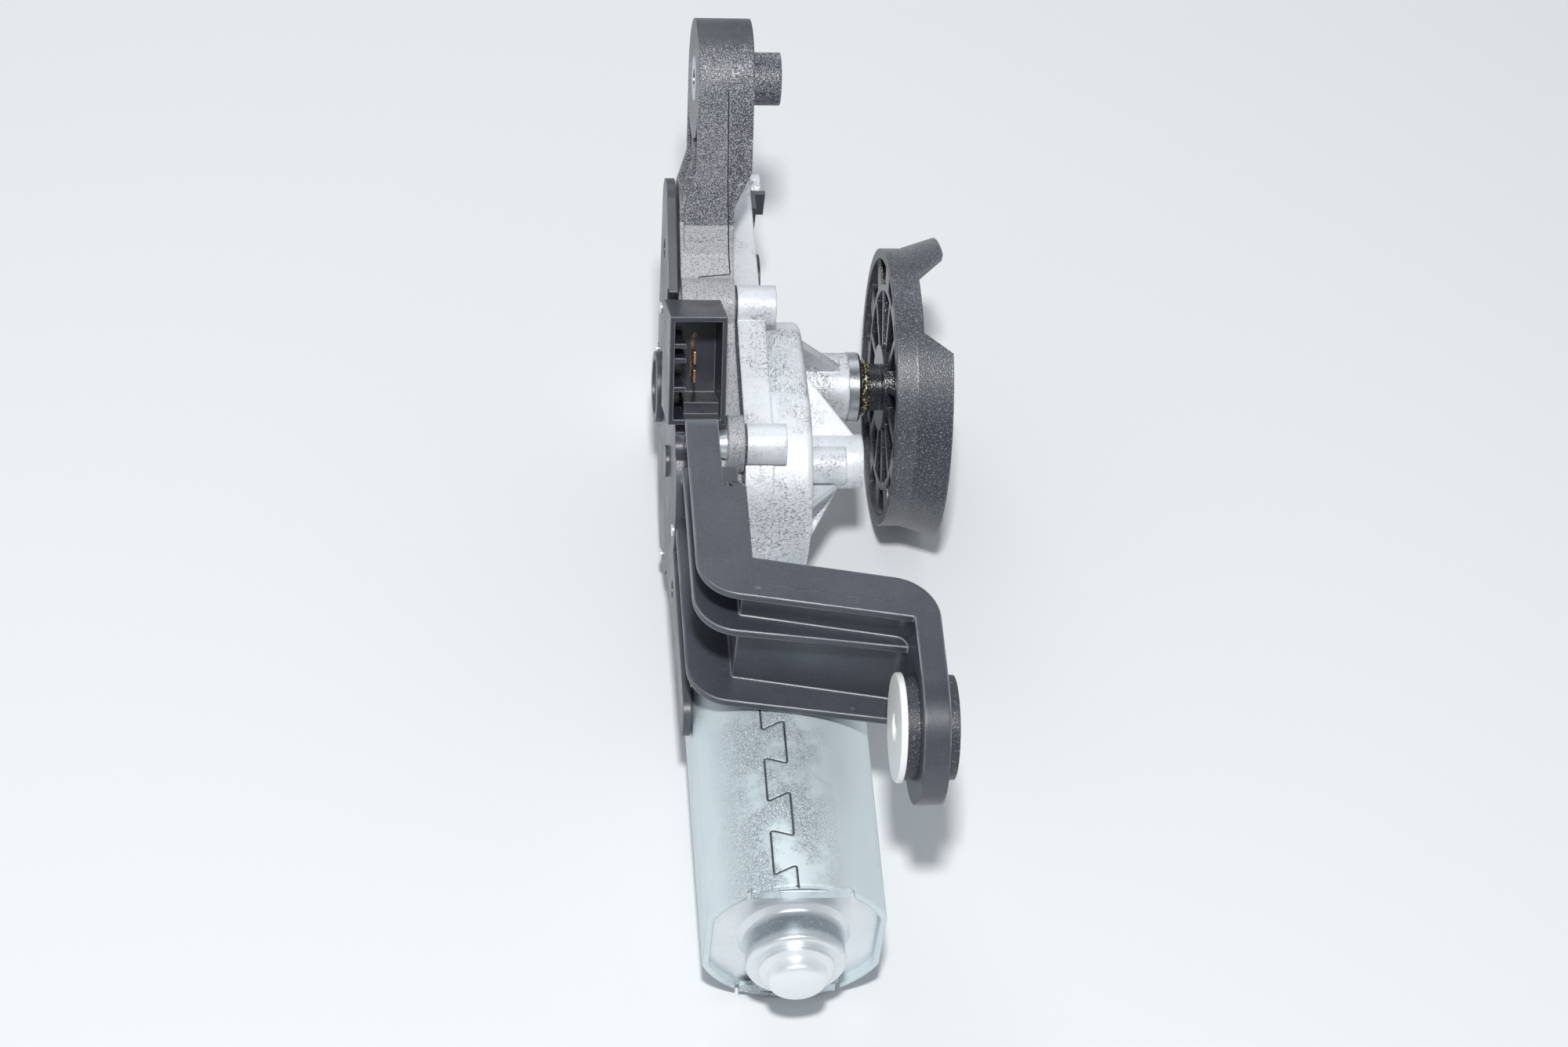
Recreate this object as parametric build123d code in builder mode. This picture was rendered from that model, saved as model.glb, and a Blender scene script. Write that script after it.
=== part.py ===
"""Rear wiper motor: gear housing, plastic bracket, motor can, link drive and coupling disc.

Frame: X runs out along the output shaft, Y is across, Z is up. The motor can points to -Y.
The origin is on the output shaft axis, at the joint face between gear housing and bracket.
"""
import os
from math import acos, cos, degrees, hypot, pi, radians, sin, tan

from build123d import *

os.makedirs("parts", exist_ok=True)

# ---------------------------------------------------------------- driving dimensions (mm)
RUN_GAP = 0.04            # radial running clearance of journals
FREE_GAP = 0.4            # clearance between parts that must not touch
WALL = 2.5                # moulded and cast walls

OUTPUT_SHAFT_D = 10.0
OUTPUT_SHAFT_BACK = -7.9
OUTPUT_SHAFT_FRONT = 52.0
TUBE_D = 17.5
TUBE_END = 30.4
COLLAR_END = 33.5

HOUSING_DEPTH = 17.0
HOUSING_STEP = 7.0
HOUSING_EDGE_R = 1.6
RIM_GROW = 0.8
SHELF_R = 16.0            # shelf of the housing, towards the rear lug
RIB_T = 2.0
NECK_R = 10.0
NECK_FLANGE_T = 4.0
PLUG_Y, PLUG_Z = 23.8, 15.0
PLUG_D = 8.0
PLUG_HEAD_D = 12.4
PLUG_HEAD_T = 1.2
PLUG_DEPTH = 3.0

WHEEL_TEETH = 50
AXIAL_PITCH = 2.0
WORM_PITCH_R = 3.6
WORM_ADDENDUM = 0.6
WORM_DEDENDUM = 0.75
FLANK_ANGLE = 20.0
WORM_TOOTH = 0.86
WHEEL_FACE_BACK = 3.0
WHEEL_TOP_WALL = 5.5      # housing in front of the wheel chamber
WHEEL_TOP_GAP = 1.5
WHEEL_ROOM_END = HOUSING_DEPTH - WHEEL_TOP_WALL
WHEEL_FACE_FRONT = WHEEL_ROOM_END - WHEEL_TOP_GAP
WHEEL_PITCH_R = WHEEL_TEETH * AXIAL_PITCH / (2 * pi)

ARMATURE_X = (WHEEL_FACE_BACK + WHEEL_FACE_FRONT) / 2
ARMATURE_Z = -15.3
WHEEL_Y = -28.7
WHEEL_Z = ARMATURE_Z + WORM_PITCH_R + WHEEL_PITCH_R
PIVOT_BOSS_D = 13.7
PIVOT_BOSS_END = 31.4
AXLE_D = 6.0
AXLE_START = 1.0
AXLE_END = PIVOT_BOSS_END - 2.5

GEAR_MODULE = 1.0
PINION_TEETH = 12
SECTOR_TEETH = 24
GEAR_PRESSURE = 25.0
GEAR_BACKLASH = 0.12
LINK_ANGLE = 100.0        # direction of the guide link from the output shaft, from +Y
CRANK_R = 6.0
LINK_T = 3.0
PIN_D = 5.0

CAN_R = 23.0
CAN_HALF_FLAT = 21.0
CAN_WALL = 1.5
CAN_FRONT = -96.5
CAN_REAR = -160.7
CAP_RECESS = 2.0
CAP_T = 1.2
STEP_R = 11.8             # first step of the end cap
CUP_STEP_R = 8.9
CUP_R = 6.9               # bearing cup at its end
CUP_IN_R = CUP_R - CAP_T

BRACKET_BACK = -14.0
COVER_T = 2.2
GASKET_T = 0.8
SHELF_T = 2.0
LOBE_Y, LOBE_Z, LOBE_R = 46.4, 63.9, 15.0
INSERT_R = 5.9
INSERT_BORE_R = 2.5
INSERT_SKIN = 2.0         # plastic left in front of the threaded insert
LOBE_BACK, LOBE_FRONT = -10.4, 3.4
SPIGOT_D, SPIGOT_END = 13.3, 11.1
FOOT_Y, FOOT_Z, FOOT_R = -131.0, 28.3, 18.0
FOOT_BACK, FOOT_FRONT = 32.7, 38.9
LEG_Y, LEG_Z, LEG_R = 25.0, -24.0, 14.3
LEG_BACK, LEG_FRONT = -10.0, -1.8
LEG_ROOT = (2.0, 4.0, 14.0)

BUSH_BORE_D = 19.0
BUSH_LIP_D = 24.4
BUSH_LIP_T = 3.0
SLEEVE_D = 9.0
MOUNT_BORE_D = 6.4        # clearance for an M6 screw
WASHER_D = 25.7
WASHER_T = 1.5

SCREW_D = 4.0
SCREW_HEAD_D = 7.3
SCREW_HEAD_T = 3.2
HEAD_GAP = 0.6            # radial room around a screw head
HEAD_RECESS_R = SCREW_HEAD_D / 2 + HEAD_GAP
MOTOR_SCREW_DX = 14.0
LUG_R = 5.0
LUG_END = 9.8
EAR_T = 4.0
EAR_R = 7.0
EAR_BACK = -EAR_T - GASKET_T

DISC_BACK = 38.9
DISC_STRAIGHT = 44.0
DISC_FRONT = 52.6
DISC_R = 35.5
DISC_MOUTH_R = 38.3
DISC_WALL = 2.4

# outline circles of the gear case in the YZ plane: (y, z, radius)
CASE_WHEEL = (-28.5, -1.0, 26.0)
CASE_SHAFT = (-4.0, 8.0, 20.0)
DRUM_SHAFT = (-6.0, 5.0, 17.5)    # the raised drum of the housing is smaller at this end
CASE_TOP = (27.0, 38.0, 7.0)
REAR_LUG = (50.0, 20.5, 4.0)
SCREWS = ((1.5, 28.9), (-40.6, 24.4), (-47.9, -22.0), (9.1, -10.4))


# ---------------------------------------------------------------- helpers
def across(x):
    """Plane parallel to YZ at x: local axes are Y and Z, extrusion goes to +X."""
    return Plane.YZ.offset(x)


def along(y):
    """Plane parallel to XZ at y: local axes are X and Z, extrusion goes to -Y."""
    return Plane.XZ.offset(-y)


def disc(y, z, r):
    """Circle at (y, z) in a sketch on a plane from across()."""
    with Locations((y, z)):
        Circle(r)


def bar(y, z, r, x0, x1, mode=Mode.ADD):
    """Cylinder parallel to X."""
    with BuildSketch(across(x0)) as face:
        disc(y, z, r)
    extrude(face.sketch, amount=x1 - x0, mode=mode)


def rod(x, z, r, y0, y1, mode=Mode.ADD):
    """Cylinder parallel to Y, from y0 to the lower value y1."""
    with BuildSketch(along(y0)) as face:
        disc(x, z, r)
    extrude(face.sketch, amount=y0 - y1, mode=mode)


def block(x0, x1, y0, y1, z0, z1, mode=Mode.ADD):
    """Box given by its limits, in either order."""
    with Locations(((x0 + x1) / 2, (y0 + y1) / 2, (z0 + z1) / 2)):
        Box(abs(x1 - x0), abs(y1 - y0), abs(z1 - z0), mode=mode)


def hull_slab(circles, x0, x1, grow=0.0, mode=Mode.ADD):
    """Slab whose outline wraps the given circles."""
    with BuildSketch(across(x0)) as face:
        for y, z, r in circles:
            disc(y, z, r + grow)
        make_hull()
    extrude(face.sketch, amount=x1 - x0, mode=mode)


def fin(y0, z0, y1, z1, x_base, x_near, x_far, t):
    """Sloping rib on the front wall, from (y0, z0) where it is x_near tall to (y1, z1)."""
    length = hypot(y1 - y0, z1 - z0)
    run = Vector(0, (y1 - y0) / length, (z1 - z0) / length)
    side = Vector(1, 0, 0).cross(run)
    plane = Plane(origin=(0, y0, z0), x_dir=run, z_dir=side)
    up = 1 if plane.y_dir.X > 0 else -1
    with BuildSketch(plane) as face:
        with BuildLine():
            Polyline((0, up * x_base), (0, up * x_near), (length, up * x_far),
                     (length, up * x_base), close=True)
        make_face()
    extrude(face.sketch, amount=t / 2, both=True)


def finish(piece, name):
    """Name the piece and write its file."""
    piece.part.label = name
    export_step(piece.part, f"parts/{name}.step")


def tooth_outline(teeth, module, phase, first, count):
    """Points along involute teeth, numbered from first, the tooth centres at phase + i * pitch."""
    pitch_r = teeth * module / 2
    base_r = pitch_r * cos(radians(GEAR_PRESSURE))
    tip_r = pitch_r + 0.85 * module
    root_r = pitch_r - 1.15 * module
    half = (pi * module / 2 - GEAR_BACKLASH) / (2 * pitch_r)
    inv_pitch = tan(radians(GEAR_PRESSURE)) - radians(GEAR_PRESSURE)

    def half_angle(r):
        pressure = acos(min(1.0, base_r / r))
        return half + inv_pitch - (tan(pressure) - pressure)

    start_r = max(base_r, root_r)
    radii = [start_r + (tip_r - start_r) * k / 4 for k in range(5)]
    points = []
    for i in range(first, first + count):
        centre = radians(phase + i * 360 / teeth)
        flank = [(root_r - 0.01, half_angle(start_r))] + [(r, half_angle(r)) for r in radii]
        points += [(r * cos(centre - a), r * sin(centre - a)) for r, a in flank]
        points += [(r * cos(centre + a), r * sin(centre + a)) for r, a in reversed(flank)]
    return points


def polygon_at(points, y, z):
    """Closed face through points, shifted to (y, z)."""
    with BuildLine() as path:
        Polyline(*[(y + p, z + q) for p, q in points], close=True)
    make_face(path.edges())


# ---------------------------------------------------------------- link drive layout
PINION_R = PINION_TEETH * GEAR_MODULE / 2
SECTOR_R = SECTOR_TEETH * GEAR_MODULE / 2
LINK_LENGTH = PINION_R + SECTOR_R
LINK_Y = LINK_LENGTH * cos(radians(LINK_ANGLE))
LINK_Z = LINK_LENGTH * sin(radians(LINK_ANGLE))
ROD_RUN = Vector(WHEEL_Y - LINK_Y, WHEEL_Z - LINK_Z).normalized()
CRANK_Y = WHEEL_Y + CRANK_R * ROD_RUN.Y
CRANK_Z = WHEEL_Z - CRANK_R * ROD_RUN.X
ROD_FRONT = -0.6
ROD_BACK = ROD_FRONT - LINK_T
GUIDE_FRONT = ROD_BACK - FREE_GAP
GUIDE_BACK = GUIDE_FRONT - 2.6

# ---------------------------------------------------------------- gear housing, cast aluminium
WORM_BORE_R = 5.2
TUBE_BORE_R = OUTPUT_SHAFT_D / 2 + 1.5
WHEEL_TIP_R = WHEEL_PITCH_R + WORM_ADDENDUM
NOSE_Y = -8.5
FLANGE_Y = CAN_FRONT + NECK_FLANGE_T
RIB_FOOT = HOUSING_DEPTH - 0.5
RIB_LOW = HOUSING_DEPTH - 0.3
TUBE_FACETS = 14
SIDE_BOSS_D = 9.2
SIDE_BOSS_END = 26.5
NECK_START = -30.0
NECK_FLARE_Y = -62.0
NECK_MOUTH = 38.0
WHEEL_ROOM = 0.8
SHOULDER_ROOM_R = 9.0
SHOULDER_ROOM_END = 6.0

with BuildPart() as housing:
    hull_slab((CASE_WHEEL, DRUM_SHAFT), 0, HOUSING_DEPTH)
    front_edges = housing.edges().filter_by_position(Axis.X, HOUSING_DEPTH - 0.01, HOUSING_DEPTH + 0.01)
    fillet(front_edges, HOUSING_EDGE_R)
    hull_slab((CASE_WHEEL, CASE_SHAFT), 0, HOUSING_STEP, grow=RIM_GROW)
    hull_slab(((CASE_SHAFT[0], CASE_SHAFT[1], SHELF_R), REAR_LUG), 0, HOUSING_STEP)
    bar(REAR_LUG[0], REAR_LUG[1], REAR_LUG[2], 0, LUG_END)
    for screw_y, screw_z in SCREWS:
        bar(screw_y, screw_z, LUG_R, 0, LUG_END)
    # output tube with its facets
    with BuildSketch(across(RIB_FOOT)):
        Circle(TUBE_D / 2)
        RegularPolygon(TUBE_D / 2 + 0.22, TUBE_FACETS, mode=Mode.INTERSECT)
    extrude(amount=TUBE_END - RIB_FOOT)
    # wheel pivot boss and the smaller boss beside it
    bar(WHEEL_Y, WHEEL_Z, PIVOT_BOSS_D / 2, RIB_FOOT, PIVOT_BOSS_END)
    bar(WHEEL_Y - 5.2, WHEEL_Z + 4.6, SIDE_BOSS_D / 2, RIB_FOOT, SIDE_BOSS_END)
    # ribs from the tube and the bosses down to the edge of the case
    fin(-1.0, 7.0, -3.5, 20.5, RIB_FOOT, TUBE_END - 1, RIB_LOW, RIB_T)
    fin(WHEEL_Y + 3.0, WHEEL_Z + 4.5, -13.0, 20.0, RIB_FOOT, PIVOT_BOSS_END - 1, RIB_LOW, RIB_T)
    fin(WHEEL_Y - 5.0, WHEEL_Z - 2.0, -47.0, 8.0, RIB_FOOT, SIDE_BOSS_END, RIB_LOW, RIB_T)
    fin(WHEEL_Y - 3.0, WHEEL_Z - 4.5, -45.0, -12.0, RIB_FOOT, SIDE_BOSS_END, RIB_LOW, RIB_T)
    fin(-4.0, -4.0, WHEEL_Y + 5.0, WHEEL_Z - 3.0, RIB_FOOT, SIDE_BOSS_END, SIDE_BOSS_END, RIB_T)
    # neck over the armature shaft and the flange for the can
    rod(ARMATURE_X, ARMATURE_Z, NECK_R, NECK_START, FLANGE_Y)
    with BuildSketch(along(NECK_FLARE_Y)):
        with Locations((ARMATURE_X, ARMATURE_Z)):
            RectangleRounded(2 * NECK_R, 2 * NECK_R, NECK_R * 0.6)
    with BuildSketch(along(FLANGE_Y)):
        with Locations((ARMATURE_X, ARMATURE_Z)):
            RectangleRounded(NECK_MOUTH, NECK_MOUTH, NECK_MOUTH / 3)
    loft()
    with BuildSketch(along(FLANGE_Y)):
        with Locations((ARMATURE_X, ARMATURE_Z)):
            Circle(CAN_R)
            Rectangle(2 * CAN_HALF_FLAT, 2 * CAN_R, mode=Mode.INTERSECT)
    extrude(amount=NECK_FLANGE_T)
    # joint face: nothing of the case itself stands behind it
    block(-20, 0, NECK_FLARE_Y + 4.5, 40, -45, 45, Mode.SUBTRACT)
    # chambers
    bar(WHEEL_Y, WHEEL_Z, WHEEL_TIP_R + WHEEL_ROOM, 0, WHEEL_ROOM_END, Mode.SUBTRACT)
    bar(0, 0, SHOULDER_ROOM_R, 0, SHOULDER_ROOM_END, Mode.SUBTRACT)
    rod(ARMATURE_X, ARMATURE_Z, WORM_BORE_R, NOSE_Y, CAN_FRONT, Mode.SUBTRACT)
    # bores
    bar(0, 0, TUBE_BORE_R, SHOULDER_ROOM_END - 1, TUBE_END, Mode.SUBTRACT)
    bar(PLUG_Y, PLUG_Z, PLUG_D / 2, HOUSING_STEP - PLUG_DEPTH, HOUSING_STEP, Mode.SUBTRACT)
    bar(WHEEL_Y, WHEEL_Z, AXLE_D / 2, WHEEL_ROOM_END - 1, AXLE_END, Mode.SUBTRACT)
    for screw_y, screw_z in SCREWS:
        bar(screw_y, screw_z, SCREW_D / 2, 0, LUG_END - 1.5, Mode.SUBTRACT)
    for side in (-1, 1):
        screw_x = ARMATURE_X + side * MOTOR_SCREW_DX
        rod(screw_x, ARMATURE_Z, SCREW_D / 2, FLANGE_Y + 1, CAN_FRONT, Mode.SUBTRACT)
        rod(screw_x, ARMATURE_Z, HEAD_RECESS_R, NECK_FLARE_Y - 8, FLANGE_Y, Mode.SUBTRACT)
finish(housing, "gear_housing")

# ---------------------------------------------------------------- chamber outline and connector seat
CASE_WALL = 3.0
CAVITY = ((CASE_WHEEL[0], CASE_WHEEL[1], CASE_WHEEL[2] - CASE_WALL),
          (CASE_SHAFT[0], CASE_SHAFT[1], CASE_SHAFT[2] - CASE_WALL))
SOCKET_PLANE = Plane(origin=(0, -31.8, 41.2), x_dir=(1, 0, 0), z_dir=(0, -0.819, 0.574))
SOCKET_X0, SOCKET_X1 = -19.4, -5.4
SOCKET_HALF = 13.4
SOCKET_LENGTH = 20.0
SOCKET_DEPTH = 17.0
SOCKET_WALL = 1.2
BLADE_T = 0.6
BLADE_X0 = (SOCKET_X0 + SOCKET_X1 - BLADE_T) / 2
BLADE_X1 = BLADE_X0 + BLADE_T
BLADE_SHIFT = -1.2        # the pair of blades sits low in the mouth
BLADE_HALF = 1.6
BLADE_PITCH = 4.6
BLADE_TIP, BLADE_TAIL = -9.0, -32.0
SEAT_END = 8.0            # how far the connector's seat reaches past its mouth
SEAT_HIGH = SOCKET_HALF + 9.0
PIN_INSET = 1.5           # cover pins stand in the middle of the case wall
PIN_DEPTH = 6.0


def socket_box(x0, x1, t0, t1, d0, d1, mode=Mode.ADD):
    """Box in the connector's own axes: X, then up the mouth face, then out of the mouth."""
    with BuildSketch(SOCKET_PLANE.offset(d0)) as face:
        with Locations(((x0 + x1) / 2, (t0 + t1) / 2)):
            Rectangle(x1 - x0, t1 - t0)
    extrude(face.sketch, amount=d1 - d0, mode=mode)


def blade_boxes(clear, mode=Mode.ADD):
    """The two terminal blades, grown sideways by clear."""
    for side in (-1, 1):
        mid = BLADE_SHIFT + side * BLADE_PITCH / 2
        socket_box(BLADE_X0 - clear, BLADE_X1 + clear, mid - BLADE_HALF - clear,
                   mid + BLADE_HALF + clear, BLADE_TAIL - clear, BLADE_TIP, mode)


COVER_PIN_D = 1.6
COVER_PIN_HEAD_D = 3.0
COVER_PIN_HEAD_T = 0.6


def on_circle(circle, angle):
    """Point in the wall of a case circle."""
    r = circle[2] - PIN_INSET
    return circle[0] + r * cos(radians(angle)), circle[1] + r * sin(radians(angle))


COVER_PINS = (on_circle(CASE_WHEEL, 165), on_circle(CASE_WHEEL, 255),
              on_circle(CASE_SHAFT, -25), on_circle(CASE_SHAFT, 25))

# ---------------------------------------------------------------- mounting bracket, moulded plastic
ARM_RUN = (0.559, 0.829)
ARM_LENGTH = 62.0
ARM_BACK, ARM_FRONT = -13.2, -GASKET_T
ARM_JOG_START, ARM_JOG_END = 32.0, 41.0
WEB_BACK, WEB_FRONT = -6.3, -3.8
# shelves of the lower arm: (top level, y of the free edge at x = 0, slope of the free edge)
TOP_SHELF = (46.5, -107.1, 0.170)
MIDDLE_SHELF = (33.7, -107.4, 0.130)
LOW_SHELF = (10.2, -110.1, 0.152)
SHELF_BACK_Y = -95.6      # back edge of all shelves at x = 0
SPAN_SLOPE = 0.183        # slope of that edge and of the wall
SPAN_WALL_Y = -102.8      # front of the wall at x = 0
SPAN_WALL_T = 4.0
LEFT_X = -17.0
LEFT_CORNER_R = 11.0
FOOT_CORNER_R = 12.0
WALL_CORNER_R = 8.0
INSIDE_CORNER_R = 3.5
SLAB_END_Y = -114.0       # here the turned wall passes into the foot
SHELF_BOTTOM = LOW_SHELF[0] - SHELF_T
SHELF_TOP = TOP_SHELF[0]
LOW_START_Y = -56.0       # where the lower shelves leave the case
TOP_START_Y = -73.0       # the top shelf starts past the case screw
TOP_TONGUE_Y = -52.0      # except for its tongue on the cover side
TOP_TONGUE_X = -9.2
ARM_WEB_X = -7.5
INSERT_END = LOBE_FRONT - INSERT_SKIN


def arm_strip(offset, thickness):
    """One flange of the upper arm, with its sideways jog; offset is measured from the lobe axis."""
    foot_y = LOBE_Y - ARM_RUN[0] * ARM_LENGTH - ARM_RUN[1] * offset
    foot_z = LOBE_Z - ARM_RUN[1] * ARM_LENGTH + ARM_RUN[0] * offset
    plane = Plane(origin=(0, foot_y, foot_z), x_dir=(0, ARM_RUN[0], ARM_RUN[1]),
                  z_dir=(0, -ARM_RUN[1], ARM_RUN[0]))
    with BuildSketch(plane) as face:
        with BuildLine():
            Polyline((0, -ARM_FRONT), (ARM_JOG_START, -ARM_FRONT), (ARM_JOG_END, -LOBE_FRONT),
                     (ARM_LENGTH, -LOBE_FRONT), (ARM_LENGTH, -LOBE_BACK), (ARM_JOG_END, -LOBE_BACK),
                     (ARM_JOG_START, -ARM_BACK), (0, -ARM_BACK), close=True)
        make_face()
    extrude(face.sketch, amount=-thickness)


def back_line(x, y_at_0):
    """Point at x on a line that runs like the wall of the lower arm."""
    return x, y_at_0 - SPAN_SLOPE * x


def shelf(level, free_y, free_slope, start_y):
    """One shelf of the lower arm: down the case, round the corner and across to the foot."""
    slab_x = FOOT_BACK + 1.0
    free_end = (slab_x, free_y - free_slope * slab_x)
    with BuildSketch(Plane.XY.offset(level - SHELF_T)) as face:
        with BuildLine():
            FilletPolyline((LEFT_X, start_y), (LEFT_X, free_y - free_slope * LEFT_X), free_end,
                           radius=LEFT_CORNER_R)
            Polyline(free_end, (slab_x, SLAB_END_Y), (FOOT_FRONT, SLAB_END_Y))
            FilletPolyline((FOOT_FRONT, SLAB_END_Y), back_line(FOOT_FRONT, SHELF_BACK_Y),
                           back_line(WEB_FRONT, SHELF_BACK_Y), radius=FOOT_CORNER_R)
            Polyline(back_line(WEB_FRONT, SHELF_BACK_Y), (WEB_FRONT, start_y), (LEFT_X, start_y))
        make_face()
    extrude(face.sketch, amount=SHELF_T)


with BuildPart() as bracket:
    hull_slab((CASE_WHEEL, CASE_SHAFT), BRACKET_BACK, -GASKET_T)
    hull_slab((CASE_SHAFT, CASE_TOP), BRACKET_BACK, -GASKET_T)
    for screw_y, screw_z in SCREWS:
        bar(screw_y, screw_z, EAR_R, EAR_BACK, -GASKET_T)
    bar(SCREWS[0][0], SCREWS[0][1], EAR_R, BRACKET_BACK, -GASKET_T)
    # web plate beside the case, and the shelves of the lower arm
    wall_back_y = SPAN_WALL_Y + SPAN_WALL_T
    with BuildSketch(across(WEB_BACK)):
        with BuildLine():
            Polyline((-6, 20), (-47, 20), (TOP_START_Y, SHELF_TOP), (wall_back_y, SHELF_TOP),
                     (wall_back_y, SHELF_BOTTOM), (LOW_START_Y, SHELF_BOTTOM), (-30, 8), close=True)
        make_face()
    extrude(amount=WEB_FRONT - WEB_BACK)
    shelf(*TOP_SHELF, TOP_START_Y)
    shelf(*MIDDLE_SHELF, LOW_START_Y)
    shelf(*LOW_SHELF, LOW_START_Y)
    block(LEFT_X, TOP_TONGUE_X, TOP_START_Y - 1, TOP_TONGUE_Y, SHELF_TOP - SHELF_T, SHELF_TOP)
    # wall that joins the shelves and turns into the foot
    with BuildSketch(Plane.XY.offset(SHELF_BOTTOM)):
        with BuildLine():
            FilletPolyline((FOOT_FRONT, SLAB_END_Y), back_line(FOOT_FRONT, wall_back_y),
                           back_line(WEB_BACK, wall_back_y), radius=WALL_CORNER_R)
            Line(back_line(WEB_BACK, wall_back_y), back_line(WEB_BACK, SPAN_WALL_Y))
            FilletPolyline(back_line(WEB_BACK, SPAN_WALL_Y), back_line(FOOT_BACK, SPAN_WALL_Y),
                           (FOOT_BACK, SLAB_END_Y), radius=INSIDE_CORNER_R)
            Line((FOOT_BACK, SLAB_END_Y), (FOOT_FRONT, SLAB_END_Y))
        make_face()
    extrude(amount=SHELF_TOP - SHELF_BOTTOM)
    # foot
    with BuildSketch(across(FOOT_BACK)):
        disc(FOOT_Y, FOOT_Z, FOOT_R)
        with Locations((SLAB_END_Y, (SHELF_TOP + SHELF_BOTTOM) / 2)):
            Rectangle(1.0, SHELF_TOP - SHELF_BOTTOM)
        make_hull()
    extrude(amount=FOOT_FRONT - FOOT_BACK)
    # upper arm, its web and its lobe
    for offset in (LOBE_R, SHELF_T / 2, -LOBE_R + SHELF_T):
        arm_strip(offset, SHELF_T)
    with BuildSketch(across(ARM_WEB_X)):
        with BuildLine():
            side_y, side_z = -ARM_RUN[1] * (LOBE_R - 1), ARM_RUN[0] * (LOBE_R - 1)
            base_y = LOBE_Y - ARM_RUN[0] * (ARM_LENGTH - 4)
            base_z = LOBE_Z - ARM_RUN[1] * (ARM_LENGTH - 4)
            Polyline((LOBE_Y + side_y, LOBE_Z + side_z), (base_y + side_y, base_z + side_z),
                     (base_y - side_y, base_z - side_z), (LOBE_Y - side_y, LOBE_Z - side_z), close=True)
        make_face()
    extrude(amount=WALL)
    bar(LOBE_Y, LOBE_Z, LOBE_R, LOBE_BACK, LOBE_FRONT)
    bar(LOBE_Y, LOBE_Z, SPIGOT_D / 2, LOBE_FRONT, SPIGOT_END)
    # third leg
    with BuildSketch(across(LEG_BACK)):
        disc(LEG_Y, LEG_Z, LEG_R)
        disc(*LEG_ROOT)
        make_hull()
    extrude(amount=LEG_FRONT - LEG_BACK)
    # chamber, bores and screw holes
    hull_slab(CAVITY, BRACKET_BACK, -GASKET_T, mode=Mode.SUBTRACT)
    bar(FOOT_Y, FOOT_Z, BUSH_BORE_D / 2, FOOT_BACK, FOOT_FRONT, Mode.SUBTRACT)
    bar(LEG_Y, LEG_Z, BUSH_BORE_D / 2, LEG_BACK, LEG_FRONT, Mode.SUBTRACT)
    bar(LOBE_Y, LOBE_Z, INSERT_R, LOBE_BACK, INSERT_END, Mode.SUBTRACT)
    bar(LOBE_Y, LOBE_Z, MOUNT_BORE_D / 2, INSERT_END, SPIGOT_END, Mode.SUBTRACT)
    for screw_y, screw_z in SCREWS:
        bar(screw_y, screw_z, SCREW_D / 2, EAR_BACK, -GASKET_T, Mode.SUBTRACT)
        bar(screw_y, screw_z, HEAD_RECESS_R, BRACKET_BACK, EAR_BACK, Mode.SUBTRACT)
    socket_box(SOCKET_X0 - FREE_GAP, SOCKET_X1 + FREE_GAP, -SOCKET_HALF - FREE_GAP, SEAT_HIGH,
               -SOCKET_LENGTH, SEAT_END, Mode.SUBTRACT)
    blade_boxes(FREE_GAP, Mode.SUBTRACT)
    for pin_y, pin_z in COVER_PINS:
        bar(pin_y, pin_z, COVER_PIN_D / 2, BRACKET_BACK, BRACKET_BACK + PIN_DEPTH, Mode.SUBTRACT)
finish(bracket, "mounting_bracket")

# ---------------------------------------------------------------- gaskets, cover and its pins
with BuildPart() as case_gasket:
    hull_slab((CASE_WHEEL, CASE_SHAFT), -GASKET_T, 0)
    for screw_y, screw_z in SCREWS:
        bar(screw_y, screw_z, LUG_R, -GASKET_T, 0)
    hull_slab(CAVITY, -GASKET_T, 0, mode=Mode.SUBTRACT)
    for screw_y, screw_z in SCREWS:
        bar(screw_y, screw_z, SCREW_D / 2, -GASKET_T, 0, Mode.SUBTRACT)
finish(case_gasket, "case_gasket")

COVER_FRONT = BRACKET_BACK - GASKET_T
COVER_BACK = COVER_FRONT - COVER_T
BOARD_BACK = BLADE_X1       # the blades lie on the back of the board
BOARD_T = 1.6
BOARD_FRONT = BOARD_BACK + BOARD_T
POSTS = ((-40.0, 5.0), (-30.0, -16.0), (-4.0, -2.0))
POST_R = 2.5
BUTTON_R = 4.0
BUTTON_T = 1.0
VENT_R = 2.4
VENTS = ((20.0, 30.0), (-60.0, -8.0))
CABLE_GUARD = ((-46.0, -8.0, 8.0), (-98.0, -8.0, 6.0))
SHAFT_CAP_D = 18.0
SHAFT_CAP_T = 1.7
SHAFT_CAP_RIM = 2.0
SHAFT_CAP_DISH = 0.7

with BuildPart() as cover_gasket:
    hull_slab((CASE_WHEEL, CASE_SHAFT), COVER_FRONT, BRACKET_BACK)
    hull_slab(CAVITY, COVER_FRONT, BRACKET_BACK, mode=Mode.SUBTRACT)
    socket_box(SOCKET_X0, SOCKET_X1, -SOCKET_HALF - FREE_GAP, SEAT_HIGH,
               -SOCKET_LENGTH - FREE_GAP, SEAT_END, Mode.SUBTRACT)
    for screw_y, screw_z in SCREWS:
        bar(screw_y, screw_z, HEAD_RECESS_R, COVER_FRONT, BRACKET_BACK, Mode.SUBTRACT)
    for pin_y, pin_z in COVER_PINS:
        bar(pin_y, pin_z, COVER_PIN_D / 2, COVER_FRONT, BRACKET_BACK, Mode.SUBTRACT)
finish(cover_gasket, "cover_gasket")

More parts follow.
